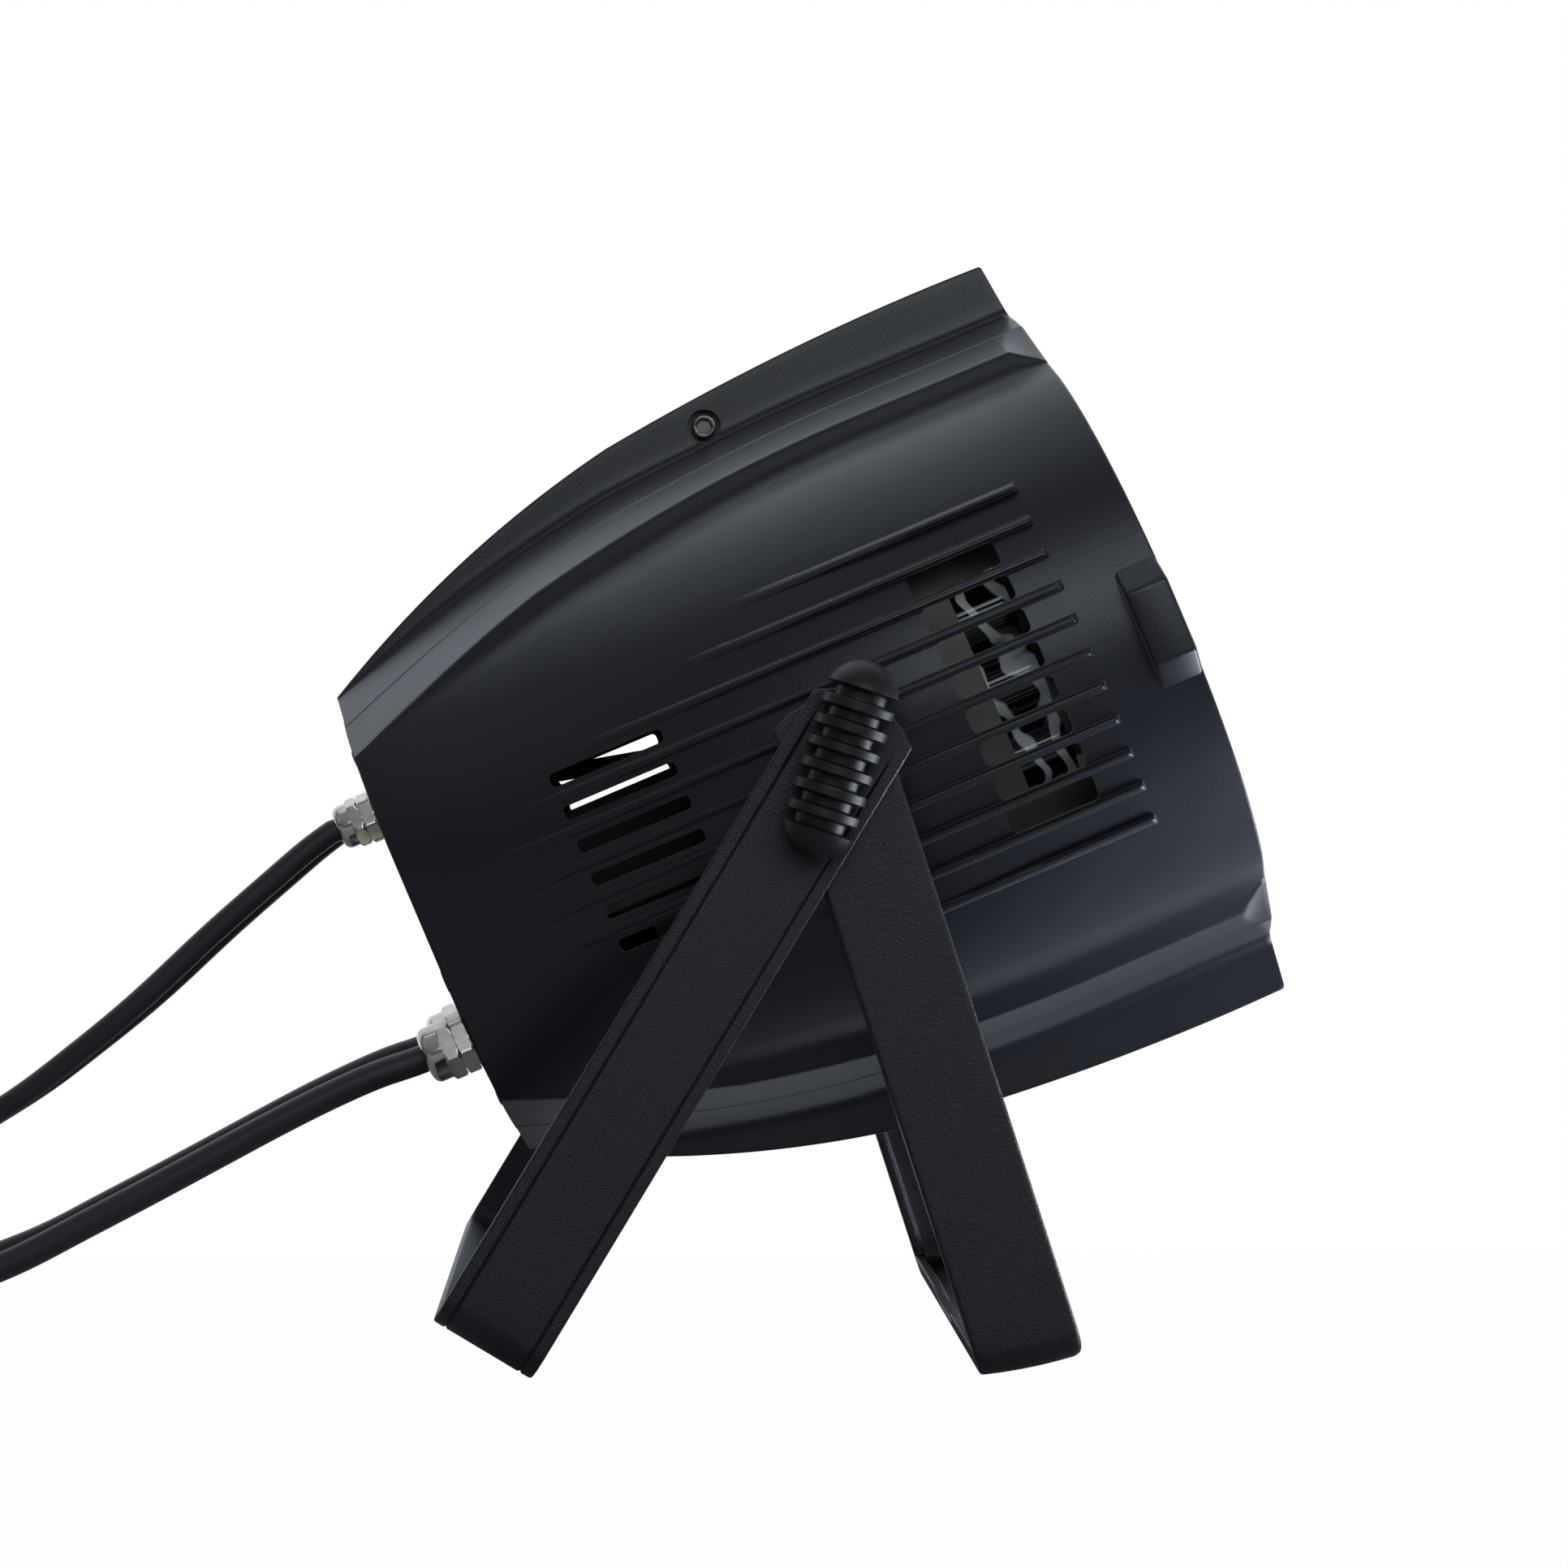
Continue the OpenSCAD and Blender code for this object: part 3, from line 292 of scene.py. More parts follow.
def make_mottle():
    """Group: colour = base * (1 + tone (coarse - 1/2) + speck), rough = rough0 + spread (fine + coarse - 1).

    The speck is added only where the fine noise is above SPECK_FROM; the fine noise is the bump too.
    """
    group = bpy.data.node_groups.new("mottle", "ShaderNodeTree")
    sockets = [("Color", "Color", "INPUT"), ("Color", "Color", "OUTPUT")]
    sockets += [("Roughness", "Float", "OUTPUT"), ("Normal", "Vector", "OUTPUT")]
    for name in ("Tone", "Roughness", "Spread", "Coarse Scale", "Fine Scale", "Grain Height", "Speck"):
        sockets.append((name, "Float", "INPUT"))
    for name, kind, way in sockets:
        group.interface.new_socket(name, in_out=way, socket_type="NodeSocket" + kind)
    given, out = group.nodes.new("NodeGroupInput"), group.nodes.new("NodeGroupOutput")
    place = add_node(group, "TexCoord")

    def noise(scale, detail):
        node = add_node(group, "TexNoise", Detail=detail)
        join(place.outputs["Object"], node.inputs["Vector"])
        join(given.outputs[scale], node.inputs["Scale"])
        return node.outputs["Fac"]

    def math_node(kind, *given_values):
        node = add_node(group, "Math")
        node.operation = kind
        for i, v in enumerate(given_values):
            if isinstance(v, (int, float)):
                node.inputs[i].default_value = v
            else:
                join(v, node.inputs[i])
        return node.outputs[0]

    coarse, fine = noise("Coarse Scale", 4.0), noise("Fine Scale", 2.0)
    swing = math_node("MULTIPLY_ADD", math_node("SUBTRACT", coarse, 0.5), given.outputs["Tone"], 1.0)
    spark = math_node("MULTIPLY", math_node("GREATER_THAN", fine, SPECK_FROM), given.outputs["Speck"])
    gain = math_node("ADD", swing, spark)
    scale = add_node(group, "VectorMath")
    scale.operation = "SCALE"
    join(given.outputs["Color"], scale.inputs[0])
    join(gain, scale.inputs["Scale"])
    join(scale.outputs[0], out.inputs["Color"])
    both = math_node("ADD", math_node("SUBTRACT", fine, 0.5), math_node("SUBTRACT", coarse, 0.5))
    rough = math_node("MULTIPLY_ADD", both, given.outputs["Spread"], given.outputs["Roughness"])
    join(rough, out.inputs["Roughness"])
    bump = add_node(group, "Bump", Strength=1.0)
    join(given.outputs["Grain Height"], bump.inputs["Distance"])
    join(fine, bump.inputs["Height"])
    join(bump.outputs[0], out.inputs["Normal"])
    return group


MOTTLE = make_mottle()


def finish_of(name, colour, rough, tone=0.3, spread=0.12, coarse=40.0, fine=900.0, grain=0.00004, speck=0.0,
              **fixed):
    """A material whose colour, roughness and bump come from the mottle group; fixed sets other sockets."""
    made, tree, shader = new_material(name)
    node = add_node(tree, "Group")
    node.node_tree = MOTTLE
    set_inputs(node, Color=(*colour, 1), Tone=tone, Roughness=rough, Spread=spread, Coarse_Scale=coarse,
               Fine_Scale=fine, Grain_Height=grain, Speck=speck)
    for source, target in (("Color", "Base Color"), ("Roughness", "Roughness"), ("Normal", "Normal")):
        join(node.outputs[source], shader.inputs[target])
    set_inputs(shader, **fixed)
    return made


def dress(piece, made):
    """Puts one material on a piece."""
    piece.data.materials.clear()
    piece.data.materials.append(made)


rubber = finish_of("cord_rubber", (0.012, 0.012, 0.013), 0.42, tone=0.5, coarse=60, fine=1600, grain=0.00003)
print("rubber made")

# %% [markdown]
# ## The four tails
# Two signal tails and two power tails leave the glands at the back, hang down to the floor and lie
# there in a coil of a little over two turns, each ending in its connector. One tube follows each tail
# from gland to connector. The line is the solid's own: shares of the way from gland to floor, then
# turns that climb over themselves once. It is evened a little, so no tail kinks where it leaves its
# gland.

# %% Tail lines and tubes
GLAND_WAY = np.array([-math.cos(TILT), 0.0, -math.sin(TILT)])
GLAND_Y, SIGNAL_V, POWER_V = 35 * MM, 37.5 * MM, -35.5 * MM
LIFT, LANE = 1.6 * MM, 12 * MM
TAIL_SIDES, FALL_POINTS, COIL_POINTS, EASE_ROUNDS = 20, 90, 109, 6
LOW_TURNS, ALL_TURNS = 0.875, 2.25
SIGNAL_ROUTE = [[.05, .075, 0], [.125, .21, .03], [.2, .355, .1], [.275, .48, .27], [.335, .57, .42],
                [.51, .78, .85], [.66, .905, 1], [.81, .975, 1], [.925, 1, 1]]
POWER_ROUTE = [[.05, .046, 0], [.125, .14, 0], [.195, .24, 0], [.28, .37, 0], [.37, .508, 0],
               [.46, .642, 0], [.57, .8, .2], [.72, .94, .7], [.86, .995, 1]]


def ease(t):
    """Smooth step t^2 (3 - 2 t), held at 0 and 1 outside."""
    t = np.clip(t, 0, 1)
    return t * t * (3 - 2 * t)


def smooth_line(points, steps):
    """Catmull-Rom curve through the points, steps to a stretch."""
    p = np.vstack([2 * points[0] - points[1], points, 2 * points[-1] - points[-2]])
    t = np.linspace(0, 1, steps, endpoint=False)[None, :, None]
    a, b, c, d = (p[i:len(p) - 3 + i, None] for i in range(4))
    curve = 0.5 * (2 * b + (c - a) * t + (2 * a - 5 * b + 4 * c - d) * t**2 + (3 * b - a - 3 * c + d) * t**3)
    return np.vstack([curve.reshape(-1, 3), points[-1:]])


def evened(line, count):
    """The line in count even steps, each point then eased towards its neighbours: p <- (a + 2 p + b) / 4."""
    way = np.concatenate([[0], np.cumsum(np.linalg.norm(np.diff(line, axis=0), axis=1))])
    line = np.stack([np.interp(np.linspace(0, way[-1], count), way, axis) for axis in line.T], axis=1)
    for _ in range(EASE_ROUNDS):
        line[2:-2] = (line[1:-3] + 2 * line[2:-2] + line[3:-1]) / 4
    return line


def tail_line(d, start, back, lane, route, side):
    """Gland to connector: the free fall by shares of the way, then a coil over t turns.

    The coil's radius is r = R - sink (min(t, T) - max(0, t - T - 1/2)) with T the low turns: it draws
    in, climbs over itself during half a turn, and widens again on top.
    """
    climb, sink = 1.08 * d, 1.3 * d
    reach = 5.5 * d + sink * LOW_TURNS / 2
    t = np.linspace(0, ALL_TURNS, COIL_POINTS)
    r = reach - sink * (np.minimum(t, LOW_TURNS) - np.maximum(0, t - LOW_TURNS - 0.5))
    h = LIFT + d / 2 + climb * ease((t - LOW_TURNS) / 0.5)
    a = np.pi / 2 + 2 * np.pi * t
    mid = (PIVOT[0] - back, lane + reach)
    coil = np.stack([mid[0] + r * np.cos(a), side * (mid[1] - r * np.sin(a)), h], axis=-1)
    way = np.array([0, float(side), 0])
    coil = np.vstack([coil, coil[-1] + d * way, coil[-1] + 2.8 * d * way, coil[-1] + 4.6 * d * way])
    first = coil[0] + [d, 0, 0]
    shares = np.array(route)[:, [0, 2, 1]]
    fall = np.vstack([start - 2 * MM * GLAND_WAY, start, start + 0.8 * d * GLAND_WAY,
                      start + shares * (first - start), first + [d, 0, 0], first])
    return np.vstack([evened(smooth_line(fall, 7), FALL_POINTS), coil])


# Each kind: cord, gland's end along the axis and height, coil's distance behind the pivot, lane, route.
TAILS = {
    "signal": (7 * MM, -141.7 * MM, SIGNAL_V, 455 * MM, LANE, SIGNAL_ROUTE),
    "power": (8.5 * MM, -144.7 * MM, POWER_V, 350 * MM, GLAND_Y, POWER_ROUTE),
}
for kind, (d, gland_end, v, back, lane, route) in TAILS.items():
    for end, side, plug in (("near", -1, kind + "_plug"), ("far", 1, kind + "_socket")):
        start = on_head(gland_end, side * GLAND_Y, v)
        line = tail_line(d, start, back, lane, route, side)
        rings = tube_rings(line, d / 2, TAIL_SIDES)
        tail = mesh_piece(f"{kind}_{end}_tail", rings, capped(len(line), TAIL_SIDES), flat_angle=60)
        dress(tail, rubber)
        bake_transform(tail)
        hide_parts(f"{kind}_cord_{end}", f"{kind}_coil_{end}")

# %% [markdown]
# ## Powder coat
# Housing and yokes are baked powder coat: satin black with a blue cast, a fine orange-peel grain, and
# here and there a grain that catches the light. A faint sheen stands for the bloom that powder has at a
# grazing view. The yokes carry a coarser, flatter coat, and the knobs are bare satin plastic.

# %% Powder coat
paint = finish_of("powder_coat", (0.004, 0.005, 0.0105), 0.34, tone=0.25, spread=0.14, coarse=30, fine=2200,
                  grain=0.000035, speck=0.5, Sheen_Weight=0.19, Sheen_Roughness=0.4)
yoke_coat = finish_of("yoke_coat", (0.0018, 0.0023, 0.0046), 0.42, tone=0.25, spread=0.16, coarse=30,
                      fine=1900, grain=0.00019, speck=0.8)
knob_black = finish_of("knob_plastic", (0.006, 0.006, 0.0066), 0.45, tone=0.2, spread=0.06, coarse=25,
                       fine=500, grain=0.00001, Specular_IOR_Level=0.35)
print("paint made")

# %% [markdown]
# ## The housing's skin
# Each half of the housing is one aluminium casting. Across the axis its section is a flat-sided spine
# plate, a soft fillet, a shelf on the main round, a low step, and a cheek that swells out to the side.
# Every line of the section fades as it runs to the back. A box that is smoothed would lose those lines,
# so the section is given by a few corner points that depend on `u`, and the whole half becomes one grid
# over (u, s). First come the three long lines that run along the axis, each made of arcs.

# %% Lines along the axis
SPINE_Y, WALL = 15 * MM, 3 * MM


def arc_height(u, at, top, radius):
    """Height top - radius + sqrt(radius^2 - (u - at)^2) on an arc that peaks at `at`."""
    return top - radius + np.sqrt(radius**2 - (u - at) ** 2)


def spine_height(u):
    """Half height of the spine: a long front arc and a tighter back arc that meet at u = -23."""
    front = arc_height(u, 83.4 * MM, 120.1 * MM, 784.7 * MM)
    return np.where(u < -23 * MM, arc_height(u, 43.7 * MM, 119.2 * MM, 353.4 * MM), front)


def body_radius(u):
    """Radius of the main round: level ahead of u = 50, an arc behind it."""
    return arc_height(np.minimum(u, 50 * MM), 50 * MM, 105.5 * MM, 525 * MM)


def cheek_reach(u):
    """Sideways reach of the cheek at the axis' height: level ahead of u = 60, an arc behind it."""
    return 30 * MM + arc_height(np.minimum(u, 60 * MM), 60 * MM, 87 * MM, 389 * MM)


def fade(u, low, high):
    """Smooth step of u, nought at low and one at high."""
    return ease((u - low) / (high - low))


print("spine", (spine_height(np.array([BACK, 0, FRONT])) / MM).round(1), "mm high")

# %% [markdown]
# ## Spine, shelf and step
# Cast corners are never sharp. One helper takes corner points and gives them round corners, for all
# stations along the axis at once. The upper part of the section is such a line: over the spine's top,
# down its side, across the shelf with the faint ridge that the mould's parting line leaves, down the step.

# %% Spine, shelf and step
def bend_line(corners, radii, counts):
    """A line through corner points with round corners.

    Each corner P becomes the curve (1-t)^2 a + 2 t (1-t) P + t^2 b, with a and b one radius before
    and behind it; counts are the points on the straight stretches.
    """
    gap = [np.hypot(*(q - p)) for p, q in zip(corners, corners[1:])]
    out, last = [], corners[0]
    for i, p in enumerate(corners[1:], 1):
        bent = i < len(corners) - 1
        cut = np.minimum(radii[i - 1], 0.45 * np.minimum(gap[i - 1], gap[i])) if bent else 0 * gap[0]
        a = p + (corners[i - 1] - p) * cut / gap[i - 1]
        out += [last + (a - last) * t for t in np.linspace(0, 1, counts[i - 1], endpoint=False)]
        if bent:
            b = p + (corners[i + 1] - p) * cut / gap[i]
            out += [(1 - t) ** 2 * a + 2 * t * (1 - t) * p + t * t * b for t in (0, 0.2, 0.4, 0.6, 0.8)]
            last = b
    out.append(corners[-1])
    return np.stack([o[0] for o in out], axis=1), np.stack([o[1] for o in out], axis=1)


# Millimetres along the axis, and there the drop of the spine's foot and of the shelf's edge below the
# main round, and the step's height.
FOOT_DROP = [-60, -30, 0, 85], [0.1, 0.2, 1.9, 2.5]
EDGE_DROP = [-122, -105, -75, -60, 0, 85], [19.3, 18.5, 16.1, 15.1, 14.7, 15.2]
STEP = [-124, -105, -75, -60, -30], [0.3, 2.0, 5.1, 6.1, 7.4]
EDGE_Y, FACET_U, RIDGE = 56 * MM, 97 * MM, 0.22


def upper_line(u, top, shrink):
    """From the middle of the spine's top to the cheek: spine, sloping shelf with its parting line, step.

    In front a facet cuts the shelf's edge off. Also returns the cheek's reach w and the centre of its
    arc, which goes through the foot of the step (yb, vb) and stands upright at (w, 0):
    y0 = (w^2 - yb^2 - vb^2) / (2 (w - yb)).
    """
    r = body_radius(u) - shrink
    mm = u / MM
    foot = r - np.interp(mm, *FOOT_DROP) * MM
    ve = r - np.interp(mm, *EDGE_DROP) * MM
    step = np.interp(mm, *STEP) * MM
    ye = EDGE_Y - shrink + 0 * u
    yb, vb = ye + 0.3 * MM + 0.3 * step, ve - step
    w = cheek_reach(u) - shrink
    y0 = (w**2 - yb**2 - vb**2) / (2 * (w - yb))
    vq = vb - 2 * MM - 0.5 * step
    chop = 0.94 * np.clip((u - FACET_U) / (FRONT - FACET_U), 0, 1)
    edge = np.array([ye + (yb - ye) * chop, ve + (vb - ve) * chop])
    peak = foot + 2 * MM if top is None else top
    side, flat = SPINE_Y + 0 * u, np.array([SPINE_Y + 0 * u, foot])
    line = [flat + (np.array([ye, ve]) - flat) * t + np.array([0, h * MM])[:, None]
            for t, h in ((0.46, 0), (0.48, RIDGE), (0.5, 0))]
    corners = [np.array([0 * u, peak]), np.array([side, peak]), flat, *line, edge, np.array([yb, vb]),
               np.array([y0 + np.sqrt((w - y0) ** 2 - vq**2), vq])]
    rounding = np.array([0.9, 3.5, 0.1, 0.1, 0.1, 1.0, 5.0]) * MM
    return *bend_line(corners, rounding, (3, 5, 6, 1, 1, 6, 5, 4)), w, y0


print("shelf ends at y", EDGE_Y)

# %% [markdown]
# ## Cheek and ribs
# The cheek is an arc whose centre was just worked out. Eleven half-round ribs stand on it, round at
# the nose and dying out behind, the middle ones longest. A bump map would not show in the outline of a
# window, so the ribs are real: the cheek's lines crowd together where a rib needs them.

# %% Cheek, ribs and the whole section
RIB_PITCH, RIB_HALF, RIB_FRONT, RIB_HEIGHT = 10.35 * MM, 1.5 * MM, 79 * MM, 3 * MM
RIB_BACK = np.array([-112, -104, -90, -68, -30, -8]) * MM
RIB_LAST = len(RIB_BACK) - 1
rib_steps = np.array([-1.9, -1.5, -1.35, -1.0, -0.5, 0, 0.5, 1.0, 1.35, 1.5, 1.9, 3.4, 5.17]) * MM
ribbed_part = np.arange(-RIB_LAST, RIB_LAST + 1)[:, None] * RIB_PITCH + rib_steps
plain_part = np.array([59, 63, 67, 71, 75, 78]) * MM
lines = np.concatenate([ribbed_part.ravel(), plain_part])
lines = np.unique(np.round(np.concatenate([-lines, lines]), 5))


def cheek_lines(u, foot):
    """Heights of the cheek's lines: level while the cheek is tall, drawn together behind.

    Lines up to `near` from the middle stay level. Those up to `lim` share the space that is left below
    the step's foot vs, and the plain ones outside fill up the rest.
    """
    vs, full, lim, near = foot[:, None], 80 * MM, 56 * MM, 24 * MM
    size = np.abs(lines)[None, :]
    behind = 1 - fade(u, -108 * MM, -72 * MM)[:, None]
    tight = near + (size - near) * (vs - near) / (full - near)
    v = np.where(size > near, size + (tight - size) * behind, size)
    rim = lim + (near + (lim - near) * (vs - near) / (full - near) - lim) * behind
    outer = rim + (vs - rim) * (size - lim) / (full - lim)
    return np.sign(lines)[None, :] * np.where(size > lim, outer, v)


def ribs(u, v):
    """Height of the ribs: half rounds h sqrt(1 - (dv / RIB_HALF)^2), fading to the back, round in front."""
    i = np.clip(np.round(v / RIB_PITCH), -RIB_LAST, RIB_LAST)
    across = np.clip(1 - ((v - i * RIB_PITCH) / RIB_HALF) ** 2, 0, 1)
    start = RIB_BACK[np.abs(i).astype(int)]
    grow = np.clip((u[:, None] - start) / (0.625 * (RIB_FRONT - start)), 0, 1)
    past = np.clip((u[:, None] - RIB_FRONT + RIB_HALF) / RIB_HALF, 0, 1)
    return RIB_HEIGHT * np.sqrt(across) * grow * np.sqrt(1 - past**2)


def half_section(u, top, shrink, ribbed):
    """One half's whole section, top seam to bottom seam, as y and v arrays."""
    y_up, v_up, w, y0 = upper_line(u, top, shrink)
    v = cheek_lines(u, v_up[:, -1])
    y = y0[:, None] + np.sqrt((w - y0)[:, None] ** 2 - v**2)
    if ribbed:
        y = y + ribs(u, v)
    y = np.concatenate([y_up, y[:, ::-1], y_up[:, ::-1]], axis=1)
    v = np.concatenate([v_up, v[:, ::-1], -v_up[:, ::-1]], axis=1)
    return y, v


stations = np.concatenate([np.linspace(BACK, 74 * MM, 105), np.linspace(76 * MM, 80 * MM, 11),
                           np.linspace(82 * MM, 95 * MM, 7),
                           np.linspace(96 * MM, FRONT - 0.6 * MM, 9), [FRONT]])
skin_y, skin_v = half_section(stations, spine_height(stations), 0, True)
print("rows", len(stations), "columns", skin_y.shape[1])

# %% [markdown]
# ## Two castings from one grid
# The rows run over the outside from the front to the back, round the seat of the rear plate, and back
# to the front on the inside. The grid closes on itself along the rows, and two flat faces close it at
# the seam. A wall made by a Solidify modifier would have no such seat, so both skins are worked out.

# %% Rings of the half shell
def rows_of(u, y, v):
    """Rows of head points (u, y, v) from one u and a line of y and v for each."""
    return np.stack([np.broadcast_to(u[:, None], y.shape), y, v], axis=-1)


# The front edge is rounded by pulling its last row in, and the spine's end slants back to its tip.
pull = np.where(stations == FRONT, 0.5 * MM, 0)[:, None] / np.hypot(skin_y, skin_v)
slant = 2.4 * MM * np.clip((np.abs(skin_v) - 100 * MM) / (20 * MM), 0, 1)
slant = slant * fade(stations, 60 * MM, FRONT)[:, None]
outer = np.stack([stations[:, None] - slant, skin_y * (1 - pull), skin_v * (1 - pull)], axis=-1)
# Each ring at the back: radius, half width between its flat sides, depth.
rims = np.array([(68.3, 63.3, 0), (68.3, 63.3, 1.5), (61, 56, 1.5), (61, 56, 4)]).T[:, :, None] * MM
angle = np.arctan2(skin_y[0], skin_v[0])
rear = rows_of(BACK + rims[2, :, 0], np.minimum(rims[0] * np.sin(angle), rims[1]), rims[0] * np.cos(angle))
inside_u = np.linspace(BACK + 4 * MM, 98.4 * MM, 40)
inside = rows_of(inside_u, *half_section(inside_u, None, WALL, False))
lip_u = np.array([98.4, 100, 101.5, 103, 104.5, 106.1]) * MM
lip_y, lip_v = half_section(lip_u, spine_height(lip_u), 0, False)
lip_r = np.hypot(lip_y, lip_v)
share = np.minimum(102.5 * MM, lip_r - 1.4 * MM) / lip_r
lip = rows_of(lip_u, lip_y * share, lip_v * share)
ring = np.concatenate([outer[::-1], rear, inside, lip])
rows, cols = ring.shape[:2]
walls = grid_faces(rows + 1, cols) % (rows * cols)
seams = [np.arange(rows) * cols, (np.arange(rows) * cols + cols - 1)[::-1]]
print("shell grid", rows, "by", cols)

# %% [markdown]
# ## Vents and screw wells
# The windows, slots and wells are machined or cored out of the casting, and so they are here: rounded
# boxes are taken away from the finished solid by an exact Boolean, whose result is kept as the mesh.
# The far half is the same grid mirrored, with its faces turned outward again.

# %% Cut and mirror the half shell
def rounded_box(u0, u1, v0, v1, radius, y0, y1, turn=6):
    """A cutter along y: a rectangle in (u, v) with round corners."""
    a = np.linspace(0, np.pi / 2, turn)
    corner = [(u1, v1, 0), (u0, v1, 1), (u0, v0, 2), (u1, v0, 3)]
    mid = {0: (-1, -1), 1: (1, -1), 2: (1, 1), 3: (-1, 1)}
    u = np.concatenate([cu + radius * (mid[k][0] + np.cos(a + k * np.pi / 2)) for cu, _, k in corner])
    v = np.concatenate([cv + radius * (mid[k][1] + np.sin(a + k * np.pi / 2)) for _, cv, k in corner])
    return np.stack([np.stack([u, y + 0 * u, v], axis=-1) for y in (y0, y1)])


def face_out(mesh):
    """Turns all faces of a closed mesh outward."""
    work = bmesh.new()
    work.from_mesh(mesh)
    bmesh.ops.recalc_face_normals(work, faces=work.faces)
    work.to_mesh(mesh)
    work.free()


def fuse(name, parts, sharp=None):
    """One mesh from several closed (points, faces) pairs, with edges above the angle sharp kept."""
    points, faces, start = [], [], 0
    for p, f in parts:
        p = np.asarray(p).reshape(-1, 3)
        points.append(p)
        faces += [np.asarray(one) + start for one in f]
        start += len(p)
    piece = mesh_piece(name, np.concatenate(points), faces)
    face_out(piece.data)
    if sharp is not None:
        piece.data.set_sharp_from_angle(angle=math.radians(sharp))
    return piece


def baked(piece, flat_angle):
    """Puts the result of the piece's modifiers into its own mesh."""
    made = bpy.data.meshes.new_from_object(piece.evaluated_get(bpy.context.evaluated_depsgraph_get()))
    piece.modifiers.clear()
    piece.data = made
    made.shade_smooth()
    made.set_sharp_from_angle(angle=math.radians(flat_angle))


def cut_away(piece, parts, flat_angle):
    """Takes closed parts away from a piece by an exact Boolean."""
    tool = fuse(piece.name + "_cutter", parts)
    cut = piece.modifiers.new("cut", "BOOLEAN")
    cut.operation, cut.solver, cut.object = "DIFFERENCE", "EXACT", tool
    baked(piece, flat_angle)
    bpy.data.objects.remove(tool)


CUT_OUT, BOSS_R, WELL_R, WELL_FLOOR = 140 * MM, 11 * MM, 5.15 * MM, 9.5 * MM
SCREW_U, SCREW_V = 7.3 * MM, 107.5 * MM


def slot_row(u0, u1, half, radius, y0, count):
    """A row of cutters, one in each gap between neighbouring ribs, count in all."""
    mids = [(i + 0.5) * RIB_PITCH for i in range(-count // 2, count // 2)]
    return [rounded_box(u0, u1, mid - half, mid + half, radius, y0, CUT_OUT) for mid in mids]


cutters = slot_row(39 * MM, 66 * MM, 3.6 * MM, 1.6 * MM, 70 * MM, 8)
cutters += slot_row(-77 * MM, -42 * MM, 2 * MM, 1.4 * MM, 60 * MM, 6)
cutters.append(rounded_box(-BOSS_R, BOSS_R, -BOSS_R, BOSS_R, BOSS_R, 90 * MM, CUT_OUT, turn=16))
cutters += [rounded_box(SCREW_U - WELL_R, SCREW_U + WELL_R, v - WELL_R, v + WELL_R, WELL_R,
                        WELL_FLOOR, 40 * MM, turn=14) for v in (-SCREW_V, SCREW_V)]


def half_shell(name, side, node):
    """One casting: cut the near grid, or its mirror image."""
    flip = np.array([1, side, 1])
    shell = fuse(name, [(on_head(*np.moveaxis(ring * flip, -1, 0)), list(walls) + seams)])
    tools = [(on_head(*np.moveaxis(c * flip, -1, 0)), capped(2, c.shape[1])) for c in cutters]
    cut_away(shell, tools, 38)
    dress(shell, paint)
    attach(shell, "head")
    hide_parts(node)
    print(name, "faces", len(shell.data.polygons))


half_shell("housing_near", -1, "shell_near")
half_shell("housing_far", 1, "shell_far")

# %% [markdown]
# ## Front ring and edge tabs
# A plain ring behind the front edge holds the glass. Its outline follows the inside of the castings, so
# it is drawn in where the step comes close. In the middle of each side the front edge carries a raised
# tab with slanted ends, of the kind that a filter frame hooks behind. The ring is one profile turned
# about the axis; the tab is a prism whose edges a Bevel modifier breaks.

# %% Front ring and tabs
def skin_radius(angle, u):
    """Distance of the skin from the axis at an angle from the top, the least over the given u."""
    y, v = half_section(u, spine_height(u), 0, False)
    turned = np.abs((angle + np.pi) % (2 * np.pi) - np.pi)
    reach = [np.interp(turned, np.arctan2(*one), np.hypot(*one)) for one in zip(y, v)]
    return np.min(reach, axis=0)


turn = np.linspace(0, 2 * np.pi, 240, endpoint=False)
rim = np.minimum(102 * MM, skin_radius(turn, np.array([93, 98, 103]) * MM) - 2.2 * MM)
inner_rim = [(90.2, 103.2), (89.4, 102.9), (89, 102.2), (89, 96.6), (94.6, 96.6), (94.6, 92)]
ring_r = np.stack([rim, rim, rim - 0.2 * MM, rim - 0.7 * MM] + [0 * rim + r * MM for r, _ in inner_rim])
ring_u = np.array([92, 102.5, 103, 103.2] + [u for _, u in inner_rim])[:, None] * MM + 0 * ring_r
faces = grid_faces(len(ring_r) + 1, len(turn), around=True) % ring_r.size
ring_points = on_head(ring_u, ring_r * np.sin(turn), ring_r * np.cos(turn))
front_ring = mesh_piece("front_ring", ring_points, faces, 35)
face_out(front_ring.data)
dress(front_ring, paint)
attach(front_ring, "head")
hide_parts("front_bezel")
for side, name in ((-1, "edge_tab_near"), (1, "edge_tab_far")):
    foot, top = side * 115 * MM, side * 122.8 * MM
    y = np.array([foot, top, top, foot])
    v = np.array([-18.4, -11, 11, 18.4]) * MM
    ends = np.array([93.4, 106.3])[:, None] * MM
    tab = mesh_piece(name, on_head(ends + 0 * y, y + 0 * ends, v + 0 * ends), capped(2, 4))
    face_out(tab.data)
    edge = tab.modifiers.new("edge", "BEVEL")
    edge.width, edge.segments, edge.limit_method = 1.1 * MM, 3, "NONE"
    baked(tab, 40)
    dress(tab, paint)
    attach(tab, "head")
print("front ring points", len(front_ring.data.vertices))

